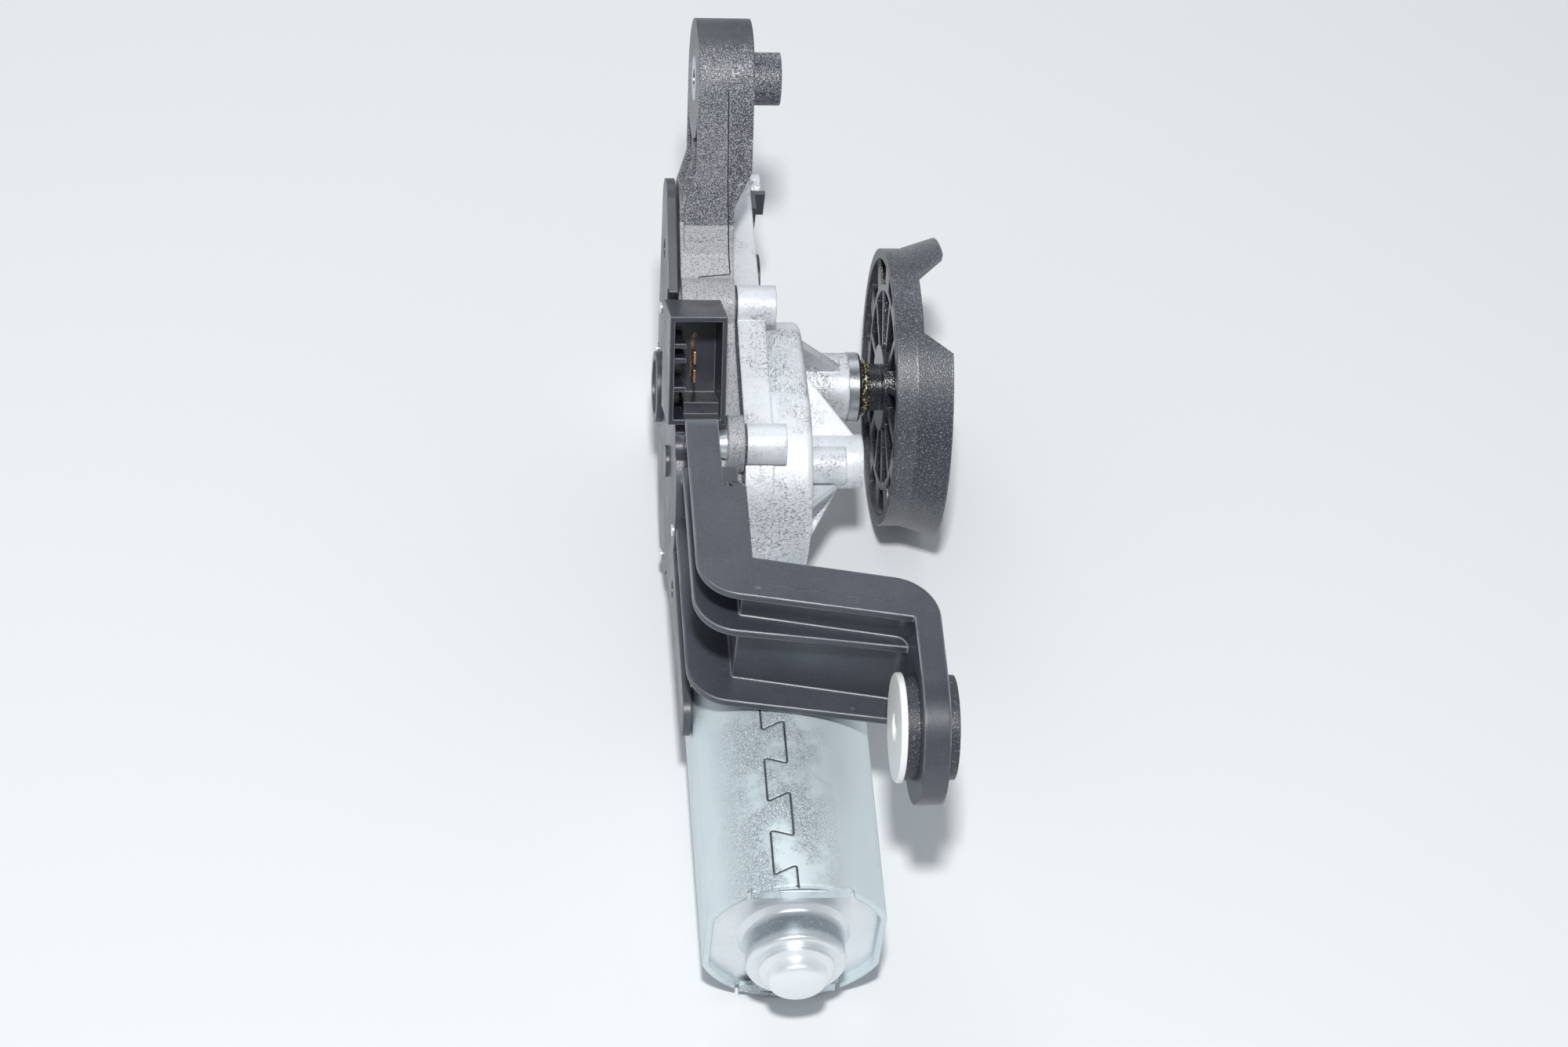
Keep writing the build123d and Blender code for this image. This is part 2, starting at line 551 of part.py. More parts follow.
with BuildPart() as cover:
    hull_slab((CASE_WHEEL, CASE_SHAFT), COVER_BACK, COVER_FRONT)
    hull_slab((CASE_SHAFT, CASE_TOP), COVER_BACK, COVER_FRONT)
    hull_slab(CABLE_GUARD, COVER_BACK, COVER_FRONT - 0.2)
    bar(WHEEL_Y, WHEEL_Z, BUTTON_R, COVER_BACK - BUTTON_T, COVER_BACK)
    for post_y, post_z in POSTS:
        bar(post_y, post_z, POST_R, COVER_FRONT, BOARD_BACK)
    socket_box(SOCKET_X0, SOCKET_X1, -SOCKET_HALF, SEAT_HIGH, -SOCKET_LENGTH, SEAT_END, Mode.SUBTRACT)
    for pin_y, pin_z in COVER_PINS:
        bar(pin_y, pin_z, COVER_PIN_D / 2, COVER_BACK, COVER_FRONT, Mode.SUBTRACT)
    for screw_y, screw_z in SCREWS:
        bar(screw_y, screw_z, HEAD_RECESS_R, COVER_BACK, COVER_FRONT, Mode.SUBTRACT)
    for vent_y, vent_z in VENTS:
        bar(vent_y, vent_z, VENT_R, COVER_BACK, COVER_FRONT, Mode.SUBTRACT)
finish(cover, "gear_cover")

with BuildPart() as shaft_cap:
    bar(0, 0, SHAFT_CAP_D / 2, COVER_BACK - SHAFT_CAP_T, COVER_BACK)
    bar(0, 0, SHAFT_CAP_D / 2 - SHAFT_CAP_RIM, COVER_BACK - SHAFT_CAP_T,
        COVER_BACK - SHAFT_CAP_T + SHAFT_CAP_DISH, Mode.SUBTRACT)
finish(shaft_cap, "cover_cap")

with BuildPart() as cover_pins:
    for pin_y, pin_z in COVER_PINS:
        bar(pin_y, pin_z, COVER_PIN_D / 2, COVER_BACK, BRACKET_BACK + PIN_DEPTH)
        bar(pin_y, pin_z, COVER_PIN_HEAD_D / 2, COVER_BACK - COVER_PIN_HEAD_T, COVER_BACK)
finish(cover_pins, "cover_pins")

# ---------------------------------------------------------------- connector
SOCKET_IN_X0, SOCKET_IN_X1 = SOCKET_X0 + SOCKET_WALL, SOCKET_X1 - SOCKET_WALL
SOCKET_IN_HALF = SOCKET_HALF - SOCKET_WALL
KEY_T = 1.2
KEY_DEPTH = 3.0

with BuildPart() as socket:
    socket_box(SOCKET_X0, SOCKET_X1, -SOCKET_HALF, SOCKET_HALF, -SOCKET_LENGTH, 0)
    socket_box(SOCKET_IN_X0, SOCKET_IN_X1, -SOCKET_IN_HALF, SOCKET_IN_HALF, -SOCKET_DEPTH, 0,
               Mode.SUBTRACT)
    # coding ribs and the floor block
    for low in (5.2, 1.6, -5.6):
        socket_box(SOCKET_IN_X0, SOCKET_IN_X0 + KEY_DEPTH, low, low + KEY_T, -SOCKET_DEPTH, -1.5)
    socket_box(SOCKET_IN_X0 + KEY_DEPTH, SOCKET_IN_X1, -SOCKET_IN_HALF, -SOCKET_IN_HALF + KEY_DEPTH,
               -SOCKET_DEPTH, -6.0)
    blade_boxes(0, Mode.SUBTRACT)
finish(socket, "connector_socket")

with BuildPart() as blades:
    blade_boxes(0)
finish(blades, "connector_terminals")

# ---------------------------------------------------------------- circuit board and its parts
BOARD_EDGE_GAP = 1.2
RELAY_T = 3.6
CHIP_T = 1.4
CAPACITOR_R = 2.0

with BuildPart() as board:
    hull_slab(CAVITY, BOARD_BACK, BOARD_FRONT, grow=-BOARD_EDGE_GAP)
    socket_box(SOCKET_X0, SOCKET_X1, -SOCKET_HALF - FREE_GAP, SOCKET_HALF, -SOCKET_LENGTH - FREE_GAP, 0,
               Mode.SUBTRACT)
finish(board, "circuit_board")

with BuildPart() as relay:
    block(BOARD_FRONT, BOARD_FRONT + RELAY_T, -24, -11, -14, -4)
finish(relay, "motor_relay")

with BuildPart() as driver_chip:
    block(BOARD_FRONT, BOARD_FRONT + CHIP_T, -40, -32, 2, 8)
finish(driver_chip, "driver_chip")

with BuildPart() as capacitors:
    for cap_z in (-4.5, -10.0):
        rod(BOARD_FRONT + CAPACITOR_R, cap_z, CAPACITOR_R, -32, -41)
finish(capacitors, "board_capacitors")

# ---------------------------------------------------------------- worm, wheel and armature
SHAFT_R = 3.0
SHAFT_NOSE_R = 2.0
WORM_Y0, WORM_Y1 = -16.0, -42.0
WORM_ROOT_R = WORM_PITCH_R - WORM_DEDENDUM
ROOT_TOOTH = WORM_TOOTH + 2 * WORM_DEDENDUM * tan(radians(FLANK_ANGLE))
TIP_TOOTH = WORM_TOOTH - 2 * WORM_ADDENDUM * tan(radians(FLANK_ANGLE))
THREAD_Y0 = WHEEL_Y - 5.5 * AXIAL_PITCH
THREAD_LENGTH = 11 * AXIAL_PITCH

with BuildPart() as worm:
    rod(ARMATURE_X, ARMATURE_Z, WORM_ROOT_R, WORM_Y0, WORM_Y1)
    turn = Helix(AXIAL_PITCH, THREAD_LENGTH, WORM_PITCH_R, center=(0, 0, 0), direction=(0, 0, 1))
    start = turn @ 0
    out = Vector(start.X, start.Y, 0).normalized()
    with BuildSketch(Plane(origin=start, x_dir=out, z_dir=turn % 0)) as tooth:
        with BuildLine():
            Polyline((-WORM_DEDENDUM - 0.15, -ROOT_TOOTH / 2), (WORM_ADDENDUM, -TIP_TOOTH / 2),
                     (WORM_ADDENDUM, TIP_TOOTH / 2), (-WORM_DEDENDUM - 0.15, ROOT_TOOTH / 2),
                     close=True)
        make_face()
    thread = sweep(tooth.sketch, path=turn, is_frenet=True, mode=Mode.PRIVATE)
    place = Plane(origin=(ARMATURE_X, THREAD_Y0, ARMATURE_Z), x_dir=(0, 0, 1), z_dir=(0, 1, 0))
    add(place.location * thread)
    rod(ARMATURE_X, ARMATURE_Z, SHAFT_NOSE_R, WORM_Y0 + 2, WORM_Y1 - 2, Mode.SUBTRACT)
finish(worm, "worm")


def wheel_section(x, turned):
    """Toothed outline of the worm wheel at x, turned about its own axis."""
    root_r = WHEEL_PITCH_R - WORM_DEDENDUM
    tip_r = WHEEL_PITCH_R + WORM_ADDENDUM
    points = []
    for i in range(WHEEL_TEETH):
        centre = radians(turned - 90 + i * 360 / WHEEL_TEETH)
        for r, a in ((root_r, -ROOT_TOOTH / 2 / root_r), (tip_r, -TIP_TOOTH / 2 / tip_r),
                     (tip_r, TIP_TOOTH / 2 / tip_r), (root_r, ROOT_TOOTH / 2 / root_r)):
            points.append((r * cos(centre + a), r * sin(centre + a)))
    with BuildSketch(across(x)) as face:
        polygon_at(points, WHEEL_Y, WHEEL_Z)
    return face.sketch


LEAD_SLOPE = AXIAL_PITCH / (2 * pi * WORM_PITCH_R)
HALF_TWIST = degrees((WHEEL_FACE_FRONT - WHEEL_FACE_BACK) / 2 * LEAD_SLOPE / WHEEL_PITCH_R)
TWIST_SIGN = 1
WHEEL_RIM = 3.4
WHEEL_DISH = 2.5
CRANK_PIN_END = WHEEL_FACE_BACK + 4.0

with BuildPart() as wheel:
    loft([wheel_section(WHEEL_FACE_BACK, -TWIST_SIGN * HALF_TWIST),
          wheel_section(WHEEL_FACE_FRONT, TWIST_SIGN * HALF_TWIST)], ruled=True)
    with BuildSketch(across(WHEEL_FACE_FRONT)):
        disc(WHEEL_Y, WHEEL_Z, WHEEL_PITCH_R - WHEEL_RIM)
        with Locations((WHEEL_Y, WHEEL_Z)):
            Circle(AXLE_D, mode=Mode.SUBTRACT)
    extrude(amount=-WHEEL_DISH, mode=Mode.SUBTRACT)
    bar(WHEEL_Y, WHEEL_Z, AXLE_D, WHEEL_FACE_BACK - 0.6, WHEEL_FACE_FRONT + 1.0)
    bar(WHEEL_Y, WHEEL_Z, AXLE_D / 2 + RUN_GAP, WHEEL_FACE_BACK - 1, WHEEL_FACE_FRONT + 2, Mode.SUBTRACT)
    bar(CRANK_Y, CRANK_Z, PIN_D / 2, WHEEL_FACE_BACK - 1, CRANK_PIN_END, Mode.SUBTRACT)
finish(wheel, "worm_wheel")

with BuildPart() as crank_pin:
    bar(CRANK_Y, CRANK_Z, PIN_D / 2, ROD_FRONT + FREE_GAP, CRANK_PIN_END)
finish(crank_pin, "crank_pin")

with BuildPart() as axle:
    bar(WHEEL_Y, WHEEL_Z, AXLE_D / 2, AXLE_START, AXLE_END)
finish(axle, "wheel_axle")

with BuildPart() as nose_bush:
    rod(ARMATURE_X, ARMATURE_Z, WORM_BORE_R, NOSE_Y, WORM_Y0 + 1)
    rod(ARMATURE_X, ARMATURE_Z, SHAFT_NOSE_R + RUN_GAP, NOSE_Y, WORM_Y0 + 1, Mode.SUBTRACT)
finish(nose_bush, "armature_nose_bush")

BALL_R = 1.95
with BuildPart() as ball:
    with Locations((ARMATURE_X, NOSE_Y - BALL_R, ARMATURE_Z)):
        Sphere(BALL_R)
finish(ball, "thrust_ball")

SHAFT_NOSE_Y = NOSE_Y - 2 * BALL_R - 0.1
SHAFT_REAR_Y = CAN_REAR - 10.2
with BuildPart() as armature_shaft:
    rod(ARMATURE_X, ARMATURE_Z, SHAFT_NOSE_R, SHAFT_NOSE_Y, WORM_Y1)
    rod(ARMATURE_X, ARMATURE_Z, SHAFT_R, WORM_Y1, SHAFT_REAR_Y)
finish(armature_shaft, "armature_shaft")


def ring_along_y(outer, inner, y0, y1, x=ARMATURE_X, z=ARMATURE_Z):
    """Ring around an axis parallel to Y."""
    rod(x, z, outer, y0, y1)
    rod(x, z, inner, y0, y1, Mode.SUBTRACT)


FRONT_BEARING_Y = -88.0
with BuildPart() as front_bearing:
    ring_along_y(WORM_BORE_R, SHAFT_R + RUN_GAP, FRONT_BEARING_Y, CAN_FRONT)
finish(front_bearing, "front_bearing")

SLOTS = 12
CORE_R = 16.6
CORE_Y0, CORE_Y1 = -117.5, -147.0
WINDING_R = 15.2
WINDING_IN_R = 6.5
COIL_OVERHANG = 5.5
SLOT_W = 3.4
SLOT_MOUTH_W = 1.2
with BuildPart() as core:
    with BuildSketch(along(CORE_Y0)):
        with Locations((ARMATURE_X, ARMATURE_Z)):
            Circle(CORE_R)
            Circle(SHAFT_R, mode=Mode.SUBTRACT)
            with PolarLocations((WINDING_IN_R + WINDING_R) / 2 + 0.6, SLOTS):
                Rectangle(WINDING_R - WINDING_IN_R - 1.2, SLOT_W, mode=Mode.SUBTRACT)
            with PolarLocations(CORE_R, SLOTS):
                Rectangle(4.0, SLOT_MOUTH_W, mode=Mode.SUBTRACT)
    extrude(amount=CORE_Y0 - CORE_Y1)
finish(core, "armature_core")

with BuildPart() as windings:
    for y in (CORE_Y0 + COIL_OVERHANG, CORE_Y1):
        ring_along_y(WINDING_R - 0.6, WINDING_IN_R, y, y - COIL_OVERHANG)
    with BuildSketch(along(CORE_Y0 + 1)):
        with Locations((ARMATURE_X, ARMATURE_Z)):
            with PolarLocations((WINDING_IN_R + WINDING_R) / 2 + 0.6, SLOTS):
                Rectangle(WINDING_R - WINDING_IN_R - 1.4, SLOT_W - 0.2)
    extrude(amount=CORE_Y0 - CORE_Y1 + 2)
    fillet(windings.edges().filter_by(GeomType.CIRCLE).filter_by_position(
        Axis.Y, CORE_Y0 + COIL_OVERHANG - 0.1, CORE_Y0 + COIL_OVERHANG + 0.1), 2.0)
finish(windings, "armature_windings")

COMMUTATOR_R = 8.0
COMMUTATOR_Y0, COMMUTATOR_Y1 = -100.5, -110.5
with BuildPart() as commutator:
    ring_along_y(COMMUTATOR_R, SHAFT_R, COMMUTATOR_Y0, COMMUTATOR_Y1)
    with Locations((ARMATURE_X, (COMMUTATOR_Y0 + COMMUTATOR_Y1) / 2, ARMATURE_Z)):
        with Locations(Rotation(90, 0, 0)):
            with PolarLocations(COMMUTATOR_R, SLOTS):
                Box(1.2, 0.5, COMMUTATOR_Y0 - COMMUTATOR_Y1, mode=Mode.SUBTRACT)
finish(commutator, "commutator")

# ---------------------------------------------------------------- motor can and what it holds
def can_section(r, half_flat):
    """Round section with two flats, in the current sketch."""
    with Locations((ARMATURE_X, ARMATURE_Z)):
        Circle(r)
        Rectangle(2 * half_flat, 2 * r, mode=Mode.INTERSECT)


CAN_IN_R = CAN_R - CAN_WALL
CAN_IN_FLAT = CAN_HALF_FLAT - CAN_WALL
CAP_OUT_Y = CAN_REAR + CAP_RECESS

with BuildPart() as can:
    with BuildSketch(along(CAN_FRONT)):
        can_section(CAN_R, CAN_HALF_FLAT)
    extrude(amount=CAN_FRONT - CAN_REAR)
    with BuildSketch(along(CAN_FRONT)):
        can_section(CAN_IN_R, CAN_IN_FLAT)
    extrude(amount=CAN_FRONT - CAN_REAR, mode=Mode.SUBTRACT)
    # crimp tabs bent in over the end cap, and the notches beside the upper one
    for up in (-1, 1):
        block(ARMATURE_X - 11.5, ARMATURE_X + 11.5, CAN_REAR, CAN_REAR + 1.2,
              ARMATURE_Z + up * 17.6, ARMATURE_Z + up * 20.5)
        for side in (-1, 1):
            block(ARMATURE_X + side * 12.0 - 0.5, ARMATURE_X + side * 12.0 + 0.5, CAN_REAR, CAN_REAR + 1.6,
                  ARMATURE_Z + up * 17.0, ARMATURE_Z + up * 24.0, Mode.SUBTRACT)
finish(can, "motor_can")

CAP_IN_Y = CAP_OUT_Y + CAP_T
STEP_Y = CAP_OUT_Y - 9.0          # flat of the first step
CUP_Y = STEP_Y - 3.6              # rim of the bearing cup
DOME_Y = CUP_Y - 2.5
with BuildPart() as end_cap:
    with BuildSketch(along(CAP_IN_Y)):
        can_section(CAN_IN_R, CAN_IN_FLAT)
        disc(ARMATURE_X, ARMATURE_Z, STEP_R + CAP_T)
    extrude(amount=CAP_T)
    rod(ARMATURE_X, ARMATURE_Z, STEP_R - CAP_T, CAP_IN_Y, CAP_OUT_Y, Mode.SUBTRACT)
    shell_plane = Plane(origin=(ARMATURE_X, 0, ARMATURE_Z), x_dir=(1, 0, 0), z_dir=(0, 0, 1))
    with BuildSketch(shell_plane):
        with BuildLine():
            FilletPolyline((STEP_R + 1.6, CAP_OUT_Y), (STEP_R, CAP_OUT_Y - CAP_T), (STEP_R, STEP_Y),
                           (CUP_STEP_R, STEP_Y), radius=1.0)
            Polyline((CUP_STEP_R, STEP_Y), (CUP_STEP_R, STEP_Y - CAP_T), (CUP_R, STEP_Y - CAP_T - 0.4),
                     (CUP_R, CUP_Y))
            Spline((CUP_R, CUP_Y), (CUP_R - 1.7, DOME_Y + 0.7), (0, DOME_Y), tangents=((0, -1), (-1, 0)))
            Polyline((0, DOME_Y), (0, DOME_Y + CAP_T), (CUP_IN_R - CAP_T, DOME_Y + CAP_T),
                     (CUP_IN_R, CUP_Y), (CUP_IN_R, STEP_Y + CAP_T), (STEP_R - CAP_T, STEP_Y + CAP_T),
                     (STEP_R - CAP_T, CAP_IN_Y), (STEP_R + 1.6, CAP_IN_Y), (STEP_R + 1.6, CAP_OUT_Y))
        make_face()
    revolve(axis=Axis((ARMATURE_X, 0, ARMATURE_Z), (0, 1, 0)))
finish(end_cap, "end_cap")

with BuildPart() as rear_bearing:
    ring_along_y(CUP_IN_R, SHAFT_R + RUN_GAP, STEP_Y + 2.7, CUP_Y + 0.7)
finish(rear_bearing, "rear_bearing")

with BuildPart() as thrust_pad:
    rod(ARMATURE_X, ARMATURE_Z, CUP_IN_R - 1.5, CUP_Y + 0.1, DOME_Y + CAP_T)
finish(thrust_pad, "thrust_pad")

MAGNET_IN_R = CORE_R + 0.6
MAGNET_HALF = 16.0
MAGNET_Y0 = CORE_Y0 + 5.0
MAGNET_Y1 = CORE_Y1 - 3.5
with BuildPart() as magnets:
    with BuildSketch(along(MAGNET_Y0)):
        with Locations((ARMATURE_X, ARMATURE_Z)):
            Circle(CAN_IN_R)
            Circle(MAGNET_IN_R, mode=Mode.SUBTRACT)
            Rectangle(2 * MAGNET_HALF, 2 * CAN_R, mode=Mode.INTERSECT)
    extrude(amount=MAGNET_Y0 - MAGNET_Y1)
finish(magnets, "field_magnets")

PLATE_T = 2.0
PLATE_BORE_R = 7.0
PLATE_BACK_Y = CAN_FRONT - PLATE_T
with BuildPart() as front_plate:
    with BuildSketch(along(CAN_FRONT)):
        can_section(CAN_IN_R, CAN_IN_FLAT)
        disc(ARMATURE_X, ARMATURE_Z, PLATE_BORE_R)
    extrude(amount=PLATE_T)
    rod(ARMATURE_X, ARMATURE_Z, PLATE_BORE_R, CAN_FRONT, PLATE_BACK_Y, Mode.SUBTRACT)
    for side in (-1, 1):
        rod(ARMATURE_X + side * MOTOR_SCREW_DX, ARMATURE_Z, SCREW_D / 2, CAN_FRONT, PLATE_BACK_Y,
            Mode.SUBTRACT)
finish(front_plate, "front_plate")

BRUSH_Y0, BRUSH_Y1 = -102.6, -107.4
BRUSH_HALF = 2.8
BRUSH_IN, BRUSH_OUT, SPRING_OUT = COMMUTATOR_R + 0.05, 13.2, 18.0
BRUSH_GAP = 0.1
GUIDE_TUBE_IN, GUIDE_TUBE_OUT = 9.6, 19.0
GUIDE_TUBE_WALL = 1.3
HOLDER_T = 2.4
HOLDER_GAP = 0.2
HOLDER_BORE_R = 9.4
HOLDER_BACK_Y = PLATE_BACK_Y - HOLDER_T
with BuildPart() as brush_holder:
    with BuildSketch(along(PLATE_BACK_Y)):
        can_section(CAN_IN_R - HOLDER_GAP, CAN_IN_FLAT - HOLDER_GAP)
    extrude(amount=HOLDER_T)
    for side in (-1, 1):
        x_in, x_out = ARMATURE_X + side * GUIDE_TUBE_IN, ARMATURE_X + side * GUIDE_TUBE_OUT
        half_slot = BRUSH_HALF + BRUSH_GAP
        half_tube = half_slot + GUIDE_TUBE_WALL
        block(x_in, x_out, BRUSH_Y1 - BRUSH_GAP - GUIDE_TUBE_WALL, HOLDER_BACK_Y + 0.4,
              ARMATURE_Z - half_tube, ARMATURE_Z + half_tube)
        block(x_in, ARMATURE_X + side * SPRING_OUT, BRUSH_Y1 - BRUSH_GAP, BRUSH_Y0 + BRUSH_GAP,
              ARMATURE_Z - half_slot, ARMATURE_Z + half_slot, Mode.SUBTRACT)
        rod(ARMATURE_X + side * MOTOR_SCREW_DX, ARMATURE_Z, SCREW_D / 2, PLATE_BACK_Y, HOLDER_BACK_Y,
            Mode.SUBTRACT)
    rod(ARMATURE_X, ARMATURE_Z, HOLDER_BORE_R, PLATE_BACK_Y, COMMUTATOR_Y1, Mode.SUBTRACT)
finish(brush_holder, "brush_holder")

with BuildPart() as brushes:
    for side in (-1, 1):
        x_in, x_out = ARMATURE_X + side * 6.0, ARMATURE_X + side * BRUSH_OUT
        block(x_in, x_out, BRUSH_Y1, BRUSH_Y0,
              ARMATURE_Z - BRUSH_HALF, ARMATURE_Z + BRUSH_HALF)
    rod(ARMATURE_X, ARMATURE_Z, BRUSH_IN, BRUSH_Y0 + 2, BRUSH_Y1 - 2, Mode.SUBTRACT)
finish(brushes, "brushes")

with BuildPart() as springs:
    for side in (-1, 1):
        base = ARMATURE_X + side * (BRUSH_OUT + 0.25)
        coil = Helix(1.05, SPRING_OUT - BRUSH_OUT - 0.5, 1.7,
                     center=(base, (BRUSH_Y0 + BRUSH_Y1) / 2, ARMATURE_Z), direction=(side, 0, 0))
        with BuildSketch(Plane(origin=coil @ 0, z_dir=coil % 0)) as wire:
            Circle(0.25)
        sweep(wire.sketch, path=coil, is_frenet=True)
finish(springs, "brush_springs")


def pan_screw_x(y, z, x_head, x_end):
    """Pan head screw parallel to X, the head towards -X."""
    bar(y, z, SCREW_D / 2, x_head, x_end)
    with BuildSketch(across(x_head)) as head:
        disc(y, z, SCREW_HEAD_D / 2)
    extrude(head.sketch, amount=-SCREW_HEAD_T, taper=12)
    bar(y, z, 1.5, x_head - SCREW_HEAD_T, x_head - SCREW_HEAD_T + 1.4, Mode.SUBTRACT)


with BuildPart() as case_screws:
    for screw_y, screw_z in SCREWS:
        pan_screw_x(screw_y, screw_z, -EAR_T - GASKET_T, LUG_END - 2.0)
finish(case_screws, "case_screws")

with BuildPart() as motor_screws:
    for side in (-1, 1):
        x = ARMATURE_X + side * MOTOR_SCREW_DX
        rod(x, ARMATURE_Z, SCREW_D / 2, CAN_FRONT + NECK_FLANGE_T, CAN_FRONT - 4.2)
        rod(x, ARMATURE_Z, SCREW_HEAD_D / 2, CAN_FRONT + NECK_FLANGE_T + 2.6, CAN_FRONT + NECK_FLANGE_T)
finish(motor_screws, "motor_screws")

# ---------------------------------------------------------------- link drive
EYE_WALL = 2.1
EYE_R = PIN_D / 2 + EYE_WALL
GUIDE_WALL = 1.5
GUIDE_JOURNAL_R = 4.0
GUIDE_HUB_WALL = 2.2
SECTOR_HALF_COUNT = 2
with BuildPart() as toothed_link:
    with BuildSketch(across(ROD_BACK)):
        disc(LINK_Y, LINK_Z, EYE_R)
        disc(CRANK_Y, CRANK_Z, EYE_R)
        make_hull()
    extrude(amount=LINK_T)
    back = LINK_ANGLE + 180
    with BuildSketch(across(ROD_BACK)):
        points = tooth_outline(SECTOR_TEETH, GEAR_MODULE, back + 180 / SECTOR_TEETH,
                               -SECTOR_HALF_COUNT, 2 * SECTOR_HALF_COUNT)
        polygon_at([(0, 0)] + points, LINK_Y, LINK_Z)
    extrude(amount=LINK_T)
    bar(LINK_Y, LINK_Z, PIN_D / 2 + RUN_GAP, ROD_BACK, ROD_FRONT, Mode.SUBTRACT)
    bar(CRANK_Y, CRANK_Z, PIN_D / 2 + RUN_GAP, ROD_BACK, ROD_FRONT, Mode.SUBTRACT)
finish(toothed_link, "toothed_link")

with BuildPart() as guide_link:
    with BuildSketch(across(GUIDE_BACK)):
        disc(LINK_Y, LINK_Z, PIN_D / 2 + GUIDE_WALL)
        disc(0, 0, GUIDE_JOURNAL_R + GUIDE_HUB_WALL)
        make_hull()
    extrude(amount=GUIDE_FRONT - GUIDE_BACK)
    bar(LINK_Y, LINK_Z, PIN_D / 2, GUIDE_BACK, GUIDE_FRONT, Mode.SUBTRACT)
    bar(0, 0, GUIDE_JOURNAL_R + RUN_GAP, GUIDE_BACK, GUIDE_FRONT, Mode.SUBTRACT)
finish(guide_link, "guide_link")

with BuildPart() as link_pin:
    bar(LINK_Y, LINK_Z, PIN_D / 2, GUIDE_BACK - 0.4, ROD_FRONT)
finish(link_pin, "link_pin")

with BuildPart() as pinion:
    with BuildSketch(across(ROD_BACK)):
        polygon_at(tooth_outline(PINION_TEETH, GEAR_MODULE, LINK_ANGLE, 0, PINION_TEETH), 0, 0)
    extrude(amount=LINK_T)
    bar(0, 0, GUIDE_JOURNAL_R, ROD_BACK, ROD_FRONT, Mode.SUBTRACT)
finish(pinion, "drive_pinion")

SHOULDER_R = 6.2
SHOULDER_X0, SHOULDER_X1 = 0.9, 5.9
DISC_SEAT_X = 45.0
NUT_THREAD_R = 4.0
with BuildPart() as output_shaft:
    bar(0, 0, GUIDE_JOURNAL_R, OUTPUT_SHAFT_BACK, SHOULDER_X0)
    bar(0, 0, SHOULDER_R, SHOULDER_X0, SHOULDER_X1)
    bar(0, 0, OUTPUT_SHAFT_D / 2, SHOULDER_X1, DISC_SEAT_X)
    bar(0, 0, NUT_THREAD_R, DISC_SEAT_X, OUTPUT_SHAFT_FRONT)
    chamfer(output_shaft.edges().filter_by_position(Axis.X, OUTPUT_SHAFT_FRONT - 0.01,
                                                    OUTPUT_SHAFT_FRONT + 0.01), 0.6)
finish(output_shaft, "output_shaft")


def ring_along_x(outer, inner, x0, x1, y=0.0, z=0.0):
    """Ring around an axis parallel to X."""
    bar(y, z, outer, x0, x1)
    bar(y, z, inner, x0, x1, Mode.SUBTRACT)


SHAFT_FIT_R = OUTPUT_SHAFT_D / 2 + RUN_GAP
BUSH_LENGTH = 7.8
INNER_BUSH_X = SHOULDER_X1 + 0.3
OUTER_BUSH_X = TUBE_END - 1.4 - BUSH_LENGTH
with BuildPart() as link_clip:
    ring_along_x(GUIDE_JOURNAL_R + 1.8, GUIDE_JOURNAL_R, OUTPUT_SHAFT_BACK + 0.2, GUIDE_BACK - FREE_GAP)
finish(link_clip, "link_clip")

with BuildPart() as inner_bush:
    ring_along_x(TUBE_BORE_R, SHAFT_FIT_R, INNER_BUSH_X, INNER_BUSH_X + BUSH_LENGTH)
finish(inner_bush, "inner_shaft_bush")

with BuildPart() as outer_bush:
    ring_along_x(TUBE_BORE_R, SHAFT_FIT_R, OUTER_BUSH_X, OUTER_BUSH_X + BUSH_LENGTH)
finish(outer_bush, "outer_shaft_bush")

SEAL_END = TUBE_END + 1.6
with BuildPart() as shaft_seal:
    ring_along_x(7.0, SHAFT_FIT_R, TUBE_END, SEAL_END)
finish(shaft_seal, "shaft_seal")

with BuildPart() as collar:
    bar(0, 0, 9.0, TUBE_END, COLLAR_END)
    chamfer(collar.edges().filter_by_position(Axis.X, COLLAR_END - 0.01, COLLAR_END + 0.01), 0.5)
    bar(0, 0, 7.0, TUBE_END, SEAL_END, Mode.SUBTRACT)
    bar(0, 0, OUTPUT_SHAFT_D / 2 + 0.4, SEAL_END, COLLAR_END, Mode.SUBTRACT)
finish(collar, "seal_collar")

with BuildPart() as shaft_clip:
    ring_along_x(6.5, OUTPUT_SHAFT_D / 2, COLLAR_END + FREE_GAP, COLLAR_END + FREE_GAP + 1.2)
finish(shaft_clip, "shaft_clip")

# ---------------------------------------------------------------- coupling disc
DISC_WEB_X0, DISC_WEB_X1 = 43.0, 45.4
DISC_IN_R = DISC_R - DISC_WALL
HUB_X0 = 35.4
HUB_R = 6.0
HUB_FLANGE_R = 11.0
SPOKE_COUNT = 12
SPOKE_T = 2.0
SPOKE_HEIGHT = 3.2
SPOKE_ROOT = 0.8          # how far spokes and blocks reach into the web
RING_R, RING_T = 26.4, 1.6        # ring wall that carries the rim blocks
BLOCK_IN_R, BLOCK_W = 26.0, 6.4
WINDOW_AT_R, WINDOW_D = 18.0, 5.2
NOTCH_ANGLE = 95.0
NOTCH_BASE_X = 45.8
NOTCH_BASE_HALF = 9.3
NOTCH_MOUTH_HALF = 16.2

